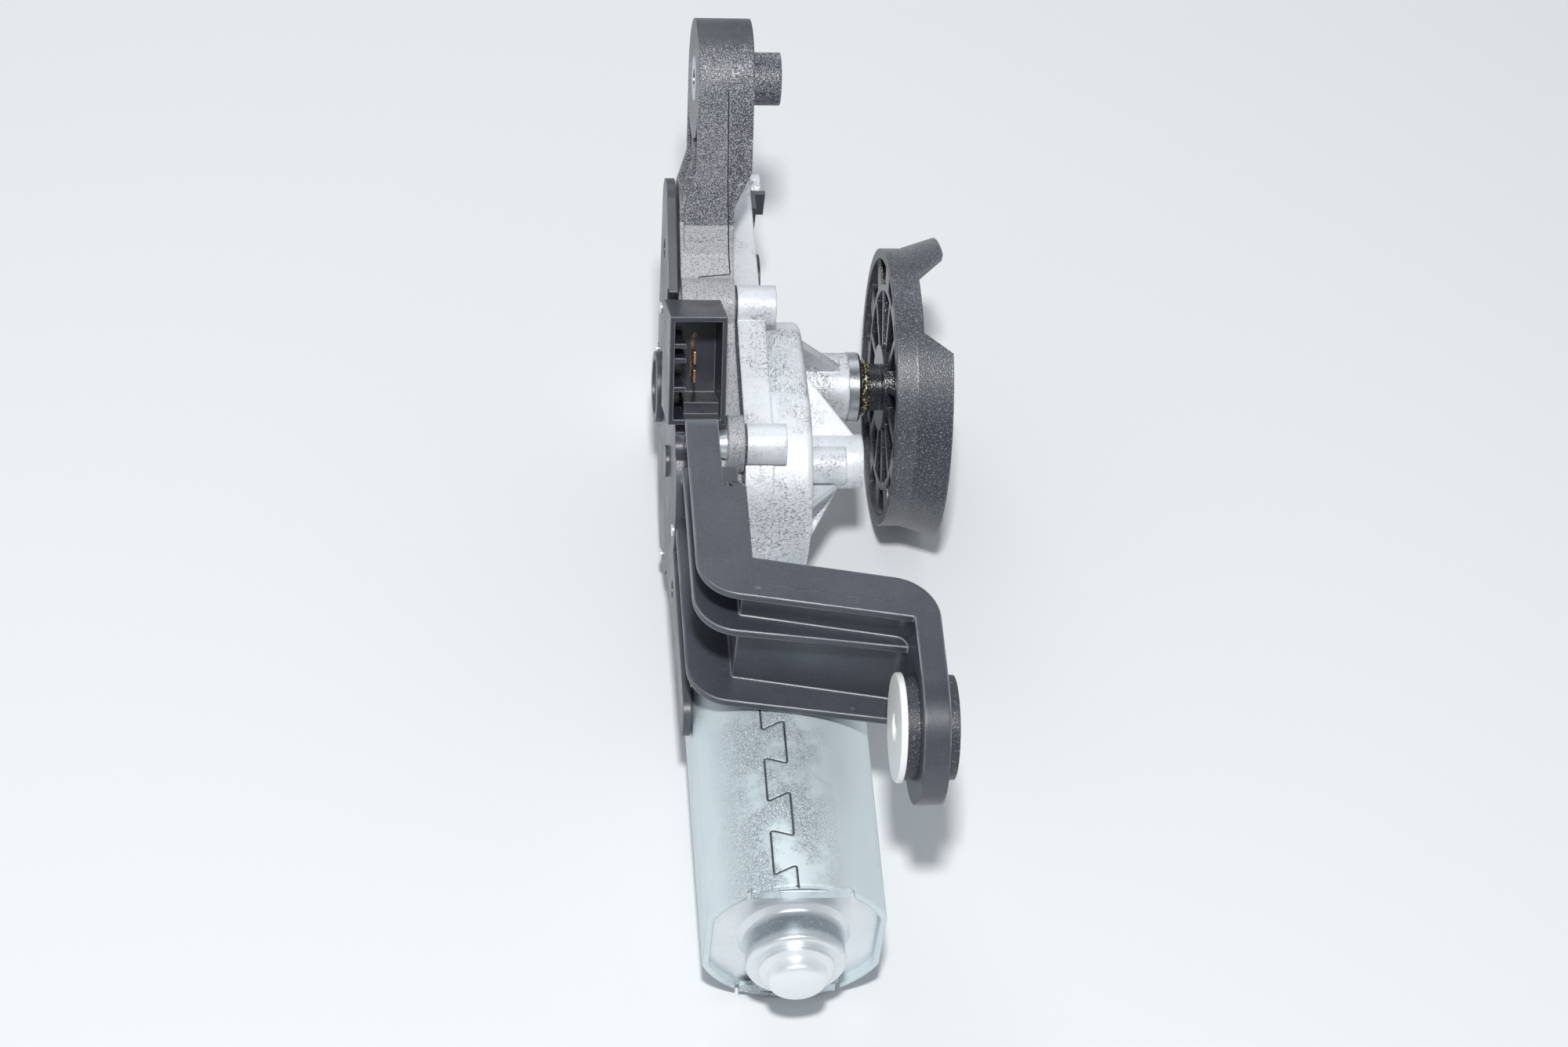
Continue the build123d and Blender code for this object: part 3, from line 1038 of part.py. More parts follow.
with BuildPart() as coupling_disc:
    with BuildSketch(Plane.XY):
        with BuildLine():
            Polyline((DISC_BACK, DISC_R), (DISC_STRAIGHT, DISC_R), (DISC_FRONT, DISC_MOUTH_R),
                     (DISC_FRONT, DISC_MOUTH_R - DISC_WALL), (DISC_WEB_X1 + 0.6, DISC_IN_R),
                     (DISC_WEB_X1, DISC_IN_R), (DISC_WEB_X1, OUTPUT_SHAFT_D / 2),
                     (HUB_X0, OUTPUT_SHAFT_D / 2), (HUB_X0, HUB_R), (DISC_BACK, HUB_R),
                     (DISC_BACK, HUB_FLANGE_R), (DISC_WEB_X0, HUB_FLANGE_R),
                     (DISC_WEB_X0, DISC_IN_R), (DISC_BACK, DISC_IN_R), close=True)
        make_face()
    revolve(axis=Axis.X)
    # motor side: ring wall, spokes inside it and rounded blocks between it and the rim
    spoke_x = DISC_WEB_X0 - SPOKE_HEIGHT
    with BuildSketch(across(spoke_x)):
        Circle(RING_R)
        Circle(RING_R - RING_T, mode=Mode.SUBTRACT)
    extrude(amount=SPOKE_HEIGHT + SPOKE_ROOT)
    with BuildSketch(across(spoke_x)):
        with PolarLocations((HUB_FLANGE_R + RING_R) / 2, SPOKE_COUNT, start_angle=180 / SPOKE_COUNT):
            Rectangle(RING_R - HUB_FLANGE_R, SPOKE_T)
        with PolarLocations((BLOCK_IN_R + DISC_IN_R + 1) / 2, SPOKE_COUNT):
            RectangleRounded(DISC_IN_R + 1 - BLOCK_IN_R, BLOCK_W, 0.9)
    extrude(amount=SPOKE_HEIGHT + SPOKE_ROOT)
    # windows through the web
    with BuildSketch(across(DISC_WEB_X0)):
        with PolarLocations(WINDOW_AT_R, SPOKE_COUNT // 2):
            Circle(WINDOW_D / 2)
    extrude(amount=DISC_WEB_X1 - DISC_WEB_X0, mode=Mode.SUBTRACT)
    bar(0, 0, NUT_THREAD_R, DISC_WEB_X0, DISC_WEB_X1, Mode.SUBTRACT)
    # notch in the skirt
    notch_out = Vector(0, cos(radians(NOTCH_ANGLE)), sin(radians(NOTCH_ANGLE)))
    with BuildSketch(Plane(origin=notch_out * 28, x_dir=(1, 0, 0), z_dir=notch_out)):
        with BuildLine():
            Polyline((NOTCH_BASE_X, -NOTCH_BASE_HALF), (DISC_FRONT + 0.5, -NOTCH_MOUTH_HALF),
                     (DISC_FRONT + 0.5, NOTCH_MOUTH_HALF), (NOTCH_BASE_X, NOTCH_BASE_HALF), close=True)
        make_face()
    extrude(amount=15, mode=Mode.SUBTRACT)
finish(coupling_disc, "coupling_disc")

with BuildPart() as disc_washer:
    ring_along_x(8.0, NUT_THREAD_R, DISC_WEB_X1, DISC_WEB_X1 + 1.0)
finish(disc_washer, "disc_washer")

with BuildPart() as disc_nut:
    with BuildSketch(across(DISC_WEB_X1 + 1.0)):
        RegularPolygon(6.5, 6, major_radius=False)
        Circle(NUT_THREAD_R, mode=Mode.SUBTRACT)
    extrude(amount=4.0)
finish(disc_nut, "disc_nut")

# ---------------------------------------------------------------- mounting hardware
def bush_set(y, z, back, front, name):
    """Rubber bush, steel sleeve and washer of one mounting point."""
    lip_back, lip_front = back - BUSH_LIP_T, front + BUSH_LIP_T
    with BuildPart() as rubber:
        bar(y, z, BUSH_LIP_D / 2, lip_back, back)
        bar(y, z, BUSH_BORE_D / 2, back, front)
        bar(y, z, BUSH_LIP_D / 2, front, lip_front)
        bar(y, z, SLEEVE_D / 2, lip_back, lip_front, Mode.SUBTRACT)
    finish(rubber, f"{name}_rubber_bush")
    with BuildPart() as sleeve:
        ring_along_x(SLEEVE_D / 2, MOUNT_BORE_D / 2, lip_back, lip_front + 0.4, y, z)
    finish(sleeve, f"{name}_sleeve")
    with BuildPart() as washer:
        ring_along_x(WASHER_D / 2, MOUNT_BORE_D / 2, lip_back - WASHER_T, lip_back, y, z)
        chamfer(washer.edges().filter_by(GeomType.CIRCLE).filter_by_position(
            Axis.X, lip_back - WASHER_T - 0.01, lip_back - WASHER_T + 0.01), 0.4)
    finish(washer, f"{name}_washer")


bush_set(FOOT_Y, FOOT_Z, FOOT_BACK, FOOT_FRONT, "foot")
bush_set(LEG_Y, LEG_Z, LEG_BACK, LEG_FRONT, "leg")

with BuildPart() as insert:
    ring_along_x(INSERT_R, INSERT_BORE_R, LOBE_BACK, INSERT_END, LOBE_Y, LOBE_Z)
finish(insert, "lobe_threaded_insert")

with BuildPart() as plug:
    bar(PLUG_Y, PLUG_Z, PLUG_HEAD_D / 2, HOUSING_STEP, HOUSING_STEP + PLUG_HEAD_T)
    bar(PLUG_Y, PLUG_Z, PLUG_D / 2, HOUSING_STEP - PLUG_DEPTH, HOUSING_STEP)
finish(plug, "housing_plug")

CLIP_T = 1.2
CLIP_LENGTH = 6.2
CLIP_HALF_W = 3.8
CLIP_RISE = 3.8
with BuildPart() as edge_clip:
    clip_y1 = REAR_LUG[0] - REAR_LUG[2]
    clip_z0, clip_z1 = REAR_LUG[1] - CLIP_HALF_W, REAR_LUG[1] + CLIP_HALF_W
    block(HOUSING_STEP, HOUSING_STEP + CLIP_T, clip_y1 - CLIP_LENGTH, clip_y1, clip_z0, clip_z1)
    block(HOUSING_STEP, HOUSING_STEP + CLIP_RISE, clip_y1 - CLIP_T, clip_y1, clip_z0, clip_z1)
finish(edge_clip, "edge_clip")
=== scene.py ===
"""Rear wiper motor: surface finishes, fine pressed and moulded detail, table, light and camera."""
from math import cos, pi, radians, sin, sqrt

import bmesh
import bpy
from mathutils import Matrix, Vector
from mathutils.bvhtree import BVHTree


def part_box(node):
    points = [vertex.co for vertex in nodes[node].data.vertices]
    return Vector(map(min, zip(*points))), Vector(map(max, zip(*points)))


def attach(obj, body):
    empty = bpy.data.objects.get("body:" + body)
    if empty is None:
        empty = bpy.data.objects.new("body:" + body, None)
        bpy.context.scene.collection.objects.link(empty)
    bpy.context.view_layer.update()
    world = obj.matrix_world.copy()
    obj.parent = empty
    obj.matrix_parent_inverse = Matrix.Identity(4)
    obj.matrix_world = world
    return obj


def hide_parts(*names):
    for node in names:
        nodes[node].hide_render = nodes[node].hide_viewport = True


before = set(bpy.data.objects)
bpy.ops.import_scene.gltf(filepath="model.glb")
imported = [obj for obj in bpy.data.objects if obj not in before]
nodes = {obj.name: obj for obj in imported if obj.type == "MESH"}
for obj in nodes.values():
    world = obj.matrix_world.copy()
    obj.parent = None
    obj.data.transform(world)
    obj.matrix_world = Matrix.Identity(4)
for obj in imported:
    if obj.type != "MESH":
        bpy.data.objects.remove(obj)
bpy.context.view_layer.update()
MM = 0.001


# ---------------------------------------------------------------- shader groups
def new_group(name, inputs, outputs):
    """Shader node group with number inputs {name: default} and outputs {name: socket type}."""
    tree = bpy.data.node_groups.new(name, "ShaderNodeTree")
    for label, value in inputs.items():
        socket = tree.interface.new_socket(label, in_out="INPUT", socket_type="NodeSocketFloat")
        socket.default_value = value
    for label, kind in outputs.items():
        tree.interface.new_socket(label, in_out="OUTPUT", socket_type=kind)
    entry = tree.nodes.new("NodeGroupInput")
    leave = tree.nodes.new("NodeGroupOutput")
    return tree, entry, leave


def feed(tree, value, socket):
    """Give a socket a number, or link it to another socket."""
    if isinstance(value, (int, float)):
        socket.default_value = value
    else:
        tree.links.new(value, socket)


def calculate(tree, operation, *values):
    """Result of a Math node on numbers or sockets."""
    node = tree.nodes.new("ShaderNodeMath")
    node.operation = operation
    for place, value in enumerate(values):
        feed(tree, value, node.inputs[place])
    return node.outputs[0]


def noise_on_object(tree, scale, seed=0.0, detail=1.0, rough=0.55, stretch=(1, 1, 1), turn=(0, 0, 0)):
    """Noise on object coordinates; a stretched one is long in its own turned X."""
    place = tree.nodes.new("ShaderNodeTexCoord")
    mapping = tree.nodes.new("ShaderNodeMapping")
    mapping.vector_type = "TEXTURE"
    mapping.inputs["Rotation"].default_value = turn
    mapping.inputs["Scale"].default_value = stretch
    noise = tree.nodes.new("ShaderNodeTexNoise")
    noise.noise_dimensions = "4D"
    noise.inputs["Detail"].default_value = detail
    noise.inputs["Roughness"].default_value = rough
    feed(tree, scale, noise.inputs["Scale"])
    feed(tree, seed, noise.inputs["W"])
    tree.links.new(place.outputs["Object"], mapping.inputs["Vector"])
    tree.links.new(mapping.outputs["Vector"], noise.inputs["Vector"])
    return noise.outputs["Fac"]


def between(tree, value, low, high):
    """Value stretched so that low gives 0 and high gives 1, and held there beyond them."""
    span = tree.nodes.new("ShaderNodeMapRange")
    feed(tree, value, span.inputs["Value"])
    feed(tree, low, span.inputs["From Min"])
    feed(tree, high, span.inputs["From Max"])
    return span.outputs["Result"]


GRAIN_FADE = 0.08                   # span of the grain's height over which a grain fades in


def grain_group():
    """Grain of a moulded or cast skin: its height, and the few grains that catch light."""
    tree, entry, leave = new_group("surface_grain", {"Scale": 2500.0, "Share": 0.6},
                                   {"Height": "NodeSocketFloat", "Grains": "NodeSocketFloat"})
    fine = noise_on_object(tree, entry.outputs["Scale"])
    full = calculate(tree, "ADD", entry.outputs["Share"], GRAIN_FADE)
    tree.links.new(fine, leave.inputs["Height"])
    tree.links.new(between(tree, fine, entry.outputs["Share"], full), leave.inputs["Grains"])
    return tree


def patches_group():
    """Broad uneven patches, for handling marks, flow marks and uneven coats."""
    tree, entry, leave = new_group("uneven_patches",
                                   {"Scale": 60.0, "Start": 0.48, "End": 0.62, "Seed": 0.0},
                                   {"Mask": "NodeSocketFloat"})
    broad = noise_on_object(tree, entry.outputs["Scale"], entry.outputs["Seed"], 5.0, 0.62)
    mask = between(tree, broad, entry.outputs["Start"], entry.outputs["End"])
    tree.links.new(mask, leave.inputs["Mask"])
    return tree


SCRATCH_TURNS = ((0.0, 0.4, 0.3), (0.9, 0.1, 1.4), (0.3, 1.2, 2.2), (1.6, 0.7, 2.9))
SCRATCH_STRETCH = (7, 1, 1)         # length to width


def scratches_group():
    """Short fine scratches that cross in four directions."""
    tree, entry, leave = new_group("short_scratches",
                                   {"Scale": 900.0, "Start": 0.66, "End": 0.72, "Seed": 0.0},
                                   {"Mask": "NodeSocketFloat"})
    most = None
    for turn in SCRATCH_TURNS:
        lines = noise_on_object(tree, entry.outputs["Scale"], entry.outputs["Seed"], 1.0, 0.5,
                                SCRATCH_STRETCH, turn)
        most = calculate(tree, "MAXIMUM", most, lines) if most else lines
    mask = between(tree, most, entry.outputs["Start"], entry.outputs["End"])
    tree.links.new(mask, leave.inputs["Mask"])
    return tree


EDGE_SAMPLES = 8


def edge_group():
    """Rounded edge: its normal, and a mask that is strong along the edge."""
    tree, entry, leave = new_group("rounded_edge", {"Radius": 0.0005, "Start": 0.02, "End": 0.2},
                                   {"Normal": "NodeSocketVector", "Mask": "NodeSocketFloat"})
    bevel = tree.nodes.new("ShaderNodeBevel")
    bevel.samples = EDGE_SAMPLES
    tree.links.new(entry.outputs["Radius"], bevel.inputs["Radius"])
    shape = tree.nodes.new("ShaderNodeNewGeometry")
    lean = tree.nodes.new("ShaderNodeVectorMath")
    lean.operation = "DOT_PRODUCT"
    tree.links.new(bevel.outputs["Normal"], lean.inputs[0])
    tree.links.new(shape.outputs["Normal"], lean.inputs[1])
    turned = calculate(tree, "SUBTRACT", 1.0, lean.outputs["Value"])
    mask = between(tree, turned, entry.outputs["Start"], entry.outputs["End"])
    tree.links.new(bevel.outputs["Normal"], leave.inputs["Normal"])
    tree.links.new(mask, leave.inputs["Mask"])
    return tree


def measured_on_object(tree, entry, operation):
    """Distance or dot product of object coordinates and a group's X, Y and Z."""
    place = tree.nodes.new("ShaderNodeTexCoord")
    given = tree.nodes.new("ShaderNodeCombineXYZ")
    for axis in "XYZ":
        tree.links.new(entry.outputs[axis], given.inputs[axis])
    measure = tree.nodes.new("ShaderNodeVectorMath")
    measure.operation = operation
    tree.links.new(place.outputs["Object"], measure.inputs[0])
    tree.links.new(given.outputs["Vector"], measure.inputs[1])
    return measure.outputs["Value"]


def near_group():
    """Mask that is 1 within the inner radius of a place and 0 beyond its reach, in metres."""
    tree, entry, leave = new_group("near_place",
                                   {"X": 0.0, "Y": 0.0, "Z": 0.0, "Inner": 0.0, "Reach": 0.01},
                                   {"Mask": "NodeSocketFloat"})
    away = measured_on_object(tree, entry, "DISTANCE")
    mask = between(tree, away, entry.outputs["Reach"], entry.outputs["Inner"])
    tree.links.new(mask, leave.inputs["Mask"])
    return tree


def beyond_group():
    """Mask that goes from 0 at the start to 1 at the end, in metres along a direction."""
    tree, entry, leave = new_group("beyond_level",
                                   {"X": 0.0, "Y": 0.0, "Z": 1.0, "Start": 0.0, "End": 0.01},
                                   {"Mask": "NodeSocketFloat"})
    along = measured_on_object(tree, entry, "DOT_PRODUCT")
    mask = between(tree, along, entry.outputs["Start"], entry.outputs["End"])
    tree.links.new(mask, leave.inputs["Mask"])
    return tree


GRAIN = grain_group()
PATCHES = patches_group()
SCRATCHES = scratches_group()
EDGE = edge_group()
NEAR = near_group()
BEYOND = beyond_group()

COAT_ROUGHNESS = 0.2


class Finish:
    """A surface finish built up in layers over one colour and one roughness."""

    def __init__(self, name, colour, rough, metal=0.0, specular=0.5, coat=0.0):
        self.material = bpy.data.materials.new(name)
        self.material.use_nodes = True
        self.tree = self.material.node_tree
        self.shader = self.tree.nodes["Principled BSDF"]
        self.shader.inputs["Base Color"].default_value = (*colour, 1.0)
        self.shader.inputs["Roughness"].default_value = rough
        self.shader.inputs["Metallic"].default_value = metal
        self.shader.inputs["Specular IOR Level"].default_value = specular
        self.shader.inputs["Coat Weight"].default_value = coat
        self.shader.inputs["Coat Roughness"].default_value = COAT_ROUGHNESS

    def layer(self, group, **values):
        """One of the shared groups, with this finish's own values."""
        node = self.tree.nodes.new("ShaderNodeGroup")
        node.node_tree = group
        for label, value in values.items():
            feed(self.tree, value, node.inputs[label])
        return node.outputs

    def patches(self, scale, start, end, seed=0.0):
        """Mask of broad patches; a wider span from start to end fades more softly."""
        return self.layer(PATCHES, Scale=scale, Start=start, End=end, Seed=seed)["Mask"]

    def scratches(self, scale, start, end, seed=0.0):
        """Mask of short scratches; a higher start leaves fewer of them."""
        return self.layer(SCRATCHES, Scale=scale, Start=start, End=end, Seed=seed)["Mask"]

    def near(self, place, inner, reach):
        """Mask around a place; all three in millimetres."""
        x, y, z = (part * MM for part in place)
        return self.layer(NEAR, X=x, Y=y, Z=z, Inner=inner * MM, Reach=reach * MM)["Mask"]

    def beyond(self, direction, start, end):
        """Mask that goes from 0 at the start to 1 at the end, in millimetres along a direction."""
        x, y, z = direction
        return self.layer(BEYOND, X=x, Y=y, Z=z, Start=start * MM, End=end * MM)["Mask"]

    def product(self, first, second):
        """Mask where both masks are strong."""
        return calculate(self.tree, "MULTIPLY", first, second)

    def larger(self, first, second):
        """Mask where either mask is strong."""
        return calculate(self.tree, "MAXIMUM", first, second)

    def without(self, mask):
        """Mask where the given one is weak."""
        return calculate(self.tree, "SUBTRACT", 1.0, mask)

    def tint(self, mask, colour, strength=1.0):
        """Lay a colour over what is there, where the mask is strong."""
        mix = self.tree.nodes.new("ShaderNodeMix")
        mix.data_type = "RGBA"
        below, above = [socket for socket in mix.inputs if socket.type == "RGBA"]
        feed(self.tree, mask if strength == 1.0 else self.product(mask, strength), mix.inputs["Factor"])
        target = self.shader.inputs["Base Color"]
        if target.is_linked:
            self.tree.links.new(target.links[0].from_socket, below)
        else:
            below.default_value = target.default_value
        above.default_value = (*colour, 1.0)
        result = [socket for socket in mix.outputs if socket.type == "RGBA"][0]
        self.tree.links.new(result, target)

    def change(self, label, mask, value):
        """Take a shader number to another value where the mask is strong."""
        target = self.shader.inputs[label]
        blend = self.tree.nodes.new("ShaderNodeMapRange")
        feed(self.tree, mask, blend.inputs["Value"])
        if target.is_linked:
            self.tree.links.new(target.links[0].from_socket, blend.inputs["To Min"])
        else:
            blend.inputs["To Min"].default_value = target.default_value
        blend.inputs["To Max"].default_value = value
        self.tree.links.new(blend.outputs["Result"], target)

    def gloss(self, mask, rough):
        """Take the roughness to another value where the mask is strong."""
        self.change("Roughness", mask, rough)

    def second_colour(self, scale, colour, strength=1.0, start=0.42, end=0.66):
        """Lay a colour over broad patches."""
        self.tint(self.patches(scale, start, end), colour, strength)

    def second_gloss(self, scale, rough, seed=3.0):
        """Take the roughness to another value in broad patches."""
        self.gloss(self.patches(scale, 0.40, 0.62, seed), rough)

    def relief(self, height, depth):
        """Raise the surface by a height, depth millimetres at most."""
        bump = self.tree.nodes.new("ShaderNodeBump")
        bump.inputs["Distance"].default_value = depth * MM
        feed(self.tree, height, bump.inputs["Height"])
        target = self.shader.inputs["Normal"]
        if target.is_linked:
            self.tree.links.new(target.links[0].from_socket, bump.inputs["Normal"])
        self.tree.links.new(bump.outputs["Normal"], target)

    def fine_relief(self, scale, depth):
        """Raise the surface by a plain grain, depth millimetres at most."""
        self.relief(self.layer(GRAIN, Scale=scale)["Height"], depth)

    def rounded(self, radius, colour, strength):
        """Round the edges by a radius in millimetres, and lay their own colour along them; a paler
        colour there is a painted highlight along the edges.
        """
        edge = self.layer(EDGE, Radius=radius * MM)
        self.tree.links.new(edge["Normal"], self.shader.inputs["Normal"])
        self.tint(edge["Mask"], colour, strength)
        return edge["Mask"]


# ---------------------------------------------------------------- plastics
# X runs along the output shaft to the linkage, Y from the motor along the case, Z upwards
TO_LINKAGE, FROM_LINKAGE = (1, 0, 0), (-1, 0, 0)
FROM_MOTOR, TO_MOTOR = (0, 1, 0), (0, -1, 0)
UPWARDS = (0, 0, 1)
UP_THE_ARM = (0.0, 0.559, 0.829)
UP_THE_LOBE = (0.0, 0.766, 0.643)

# where each mask along a direction is 0 and where it is 1, in millimetres
ARM_START = (-54, -44)              # the bracket's arm and its grain begin, from the motor on
ARM_PAINTED_LIGHT_FOOT = (44.7, 44.2)             # below this the arm is painted pale: painted light on its lower part
ARM_UPPER = (40, 41)                # above this the arm's two mould halves differ
ARM_REAR_HALF = (-2.1, -2.3)        # the half away from the linkage
LOBE_TOP = (82, 86)                 # the lobe's top is smooth, and painted dark as painted shade
SHADED_GRAIN_LEVEL = 0.44                   # grain lower than this is painted dark: painted shade where the grain is lowest


def bracket_plastic():
    """Glass-filled plastic: grain with real and painted glint specks, satin shelves, edges painted pale
    as highlight lines.
    """
    coat = Finish("bracket_glass_filled_plastic", (0.036, 0.042, 0.057), 0.33, specular=0.6)
    # painted highlight: the pale colour along the rounded edges stands in for the light they catch
    edge = coat.rounded(0.95, (0.44, 0.46, 0.49), 0.85)
    arm = coat.beyond(FROM_MOTOR, *ARM_START)
    foot = coat.product(coat.beyond(UP_THE_ARM, *ARM_PAINTED_LIGHT_FOOT), arm)
    upper = coat.product(coat.beyond(UP_THE_ARM, *ARM_UPPER), arm)
    rear = coat.product(coat.beyond(TO_LINKAGE, *ARM_REAR_HALF), upper)
    front = coat.product(coat.without(rear), upper)
    smooth_shaded_top = coat.beyond(UP_THE_LOBE, *LOBE_TOP)
    grainy = coat.product(arm, coat.without(coat.product(smooth_shaded_top, 0.8)))
    coat.second_colour(40.0, (0.053, 0.060, 0.076))
    rear_patches = coat.product(rear, coat.patches(150.0, 0.30, 0.62, 8.0))
    coat.tint(rear_patches, (0.125, 0.129, 0.142), 0.9)
    # painted light: the arm below the crease is painted pale where its face turns to the lamp
    coat.tint(foot, (0.46, 0.465, 0.48), 0.85)
    front_patches = coat.product(front, coat.patches(60.0, 0.40, 0.56, 12.0))
    coat.tint(front_patches, (0.028, 0.032, 0.042), 0.8)
    grain = coat.layer(GRAIN, Scale=3600.0, Share=0.51)
    # painted glint specks: the highest grains painted pale in place of the sparkle that light makes on
    # them
    bright = coat.product(grain["Grains"], coat.larger(grainy, 0.06))
    coat.tint(bright, (0.50, 0.51, 0.54), 0.65)
    # painted shade where the arm's grain is lowest
    depth = calculate(coat.tree, "SUBTRACT", SHADED_GRAIN_LEVEL, grain["Height"])
    shaded_hollows = coat.product(between(coat.tree, depth, 0.0, GRAIN_FADE), grainy)
    coat.tint(shaded_hollows, (0.014, 0.016, 0.022), 0.8)
    # painted glint streaks: pale short streaks on the arm's front half
    painted_glints = coat.product(coat.scratches(1500.0, 0.60, 0.64, 2.0), coat.patches(90.0, 0.50, 0.58, 4.0))
    painted_front_glints = coat.product(painted_glints, coat.product(front, grainy))
    coat.tint(painted_front_glints, (0.62, 0.64, 0.67), 0.7)
    # painted shade on the lobe's top
    coat.tint(coat.product(smooth_shaded_top, arm), (0.045, 0.050, 0.062), 0.75)
    coat.tint(coat.scratches(260.0, 0.78, 0.82), (0.14, 0.15, 0.17), 0.6)
    coat.second_gloss(70.0, 0.38)
    coat.gloss(grainy, 0.46)
    coat.gloss(edge, 0.26)
    coat.gloss(bright, 0.26)
    coat.relief(coat.product(grain["Height"], coat.larger(arm, 0.08)), 0.10)
    coat.relief(coat.patches(90.0, 0.25, 0.75, 5.0), 0.05)
    return coat.material


def cover_plastic():
    """Smooth moulded cover with light handling marks."""
    coat = Finish("cover_smooth_plastic", (0.055, 0.062, 0.075), 0.30, specular=0.7)
    # painted highlight: paler colour along the rounded edges
    coat.rounded(0.4, (0.22, 0.23, 0.25), 0.7)
    coat.second_colour(30.0, (0.075, 0.082, 0.095))
    coat.tint(coat.scratches(300.0, 0.73, 0.77), (0.19, 0.20, 0.22), 0.7)
    coat.second_gloss(60.0, 0.42, seed=2.0)
    coat.fine_relief(2600.0, 0.03)
    return coat.material


def connector_plastic():
    """Satin plastic of the socket, with thin rims painted pale as highlight lines."""
    coat = Finish("connector_satin_plastic", (0.024, 0.029, 0.040), 0.27, specular=0.7)
    # painted highlight: paler colour along the rounded rims
    coat.rounded(0.5, (0.30, 0.31, 0.34), 0.9)
    coat.second_colour(80.0, (0.038, 0.043, 0.054))
    coat.tint(coat.scratches(420.0, 0.77, 0.81), (0.15, 0.16, 0.18), 0.5)
    coat.second_gloss(120.0, 0.38, seed=2.0)
    coat.fine_relief(3000.0, 0.035)
    return coat.material


DISC_MIDDLE = (41.0, 0.0, 0.0)
DISC_INSIDE = (31, 33)              # within the skirt, as inner radius and reach


def disc_plastic():
    """Coupling disc: grained skirt with painted glint specks, edges painted pale as highlight lines,
    glossier inside.
    """
    coat = Finish("coupling_grained_plastic", (0.034, 0.040, 0.052), 0.37, specular=0.9)
    # painted highlight: paler colour along the rounded edges
    edge = coat.rounded(0.6, (0.12, 0.13, 0.15), 0.8)
    inside = coat.near(DISC_MIDDLE, *DISC_INSIDE)
    coat.second_colour(30.0, (0.042, 0.049, 0.063))
    coat.tint(inside, (0.018, 0.021, 0.029))
    grain = coat.layer(GRAIN, Scale=3000.0, Share=0.57)
    # painted glint specks: the highest grains painted pale
    grains = coat.product(grain["Grains"], coat.larger(coat.without(inside), 0.25))
    coat.tint(grains, (0.42, 0.43, 0.46), 0.55)
    coat.gloss(inside, 0.20)
    coat.gloss(grains, 0.24)
    coat.gloss(edge, 0.26)
    coat.relief(grain["Height"], 0.07)
    return coat.material


def rubber():
    """Grained rubber of the bushes, gaskets and seal."""
    coat = Finish("bush_rubber", (0.036, 0.040, 0.051), 0.46, specular=0.6)
    # painted highlight: paler colour along the rounded edges
    coat.rounded(0.4, (0.07, 0.075, 0.085), 0.8)
    coat.second_colour(90.0, (0.037, 0.041, 0.051))
    grain = coat.layer(GRAIN, Scale=2200.0, Share=0.60)
    coat.tint(grain["Grains"], (0.26, 0.27, 0.30), 0.7)
    coat.gloss(grain["Grains"], 0.28)
    coat.relief(grain["Height"], 0.10)
    return coat.material


# ---------------------------------------------------------------- metals
# places on the casting, each with its inner radius and its reach in millimetres
FLECKED_PLACES = (((9, -51, 6), 6, 17), ((6, -10, 24), 2, 12), ((26, -27, 3), 2, 9))
SHADED_WEB = ((25, -16, 5), 6, 10)    # painted shade on the web between tube and pivot boss


def cast_aluminium():
    """Die-cast aluminium: pale skin, grey flow patches, painted shade between tube and boss, clusters
    of dark and bright flecks, the bright ones partly painted glint specks.
    """
    coat = Finish("cast_aluminium", (0.80, 0.825, 0.86), 0.46, metal=0.18)
    # painted highlight: paler colour along the rounded edges
    coat.rounded(0.8, (0.93, 0.95, 0.97), 0.7)
    coat.second_colour(48.0, (0.67, 0.70, 0.735), 0.8, 0.44, 0.62)
    # painted shade between tube and pivot boss
    coat.tint(coat.near(*SHADED_WEB), (0.36, 0.385, 0.415), 0.75)
    cluster = coat.patches(70.0, 0.48, 0.60, 7.0)
    for flecked in FLECKED_PLACES:
        cluster = coat.larger(cluster, coat.near(*flecked))
    dark = coat.product(coat.scratches(2300.0, 0.62, 0.66), cluster)
    pale = coat.product(coat.scratches(1700.0, 0.65, 0.69, 4.0), cluster)
    pits = coat.layer(GRAIN, Scale=2300.0, Share=0.62)
    coat.tint(cluster, (0.65, 0.675, 0.705), 0.6)
    coat.tint(dark, (0.16, 0.17, 0.185), 0.75)
    # pale flecks: lighter specks of metal, and partly painted glint specks
    coat.tint(pale, (0.95, 0.96, 0.98), 0.9)
    coat.tint(pits["Grains"], (0.38, 0.395, 0.415), 0.45)
    coat.gloss(pale, 0.25)
    coat.change("Metallic", pale, 0.8)
    coat.relief(coat.patches(130.0, 0.2, 0.8, 2.0), 0.12)
    coat.relief(pits["Height"], 0.05)
    coat.relief(dark, -0.05)
    return coat.material


# the can's speckle fades out to both sides of the seam
SPECKLE_LEFT = (-12.2, -3.2)
SPECKLE_RIGHT = (-17.8, -8.8)


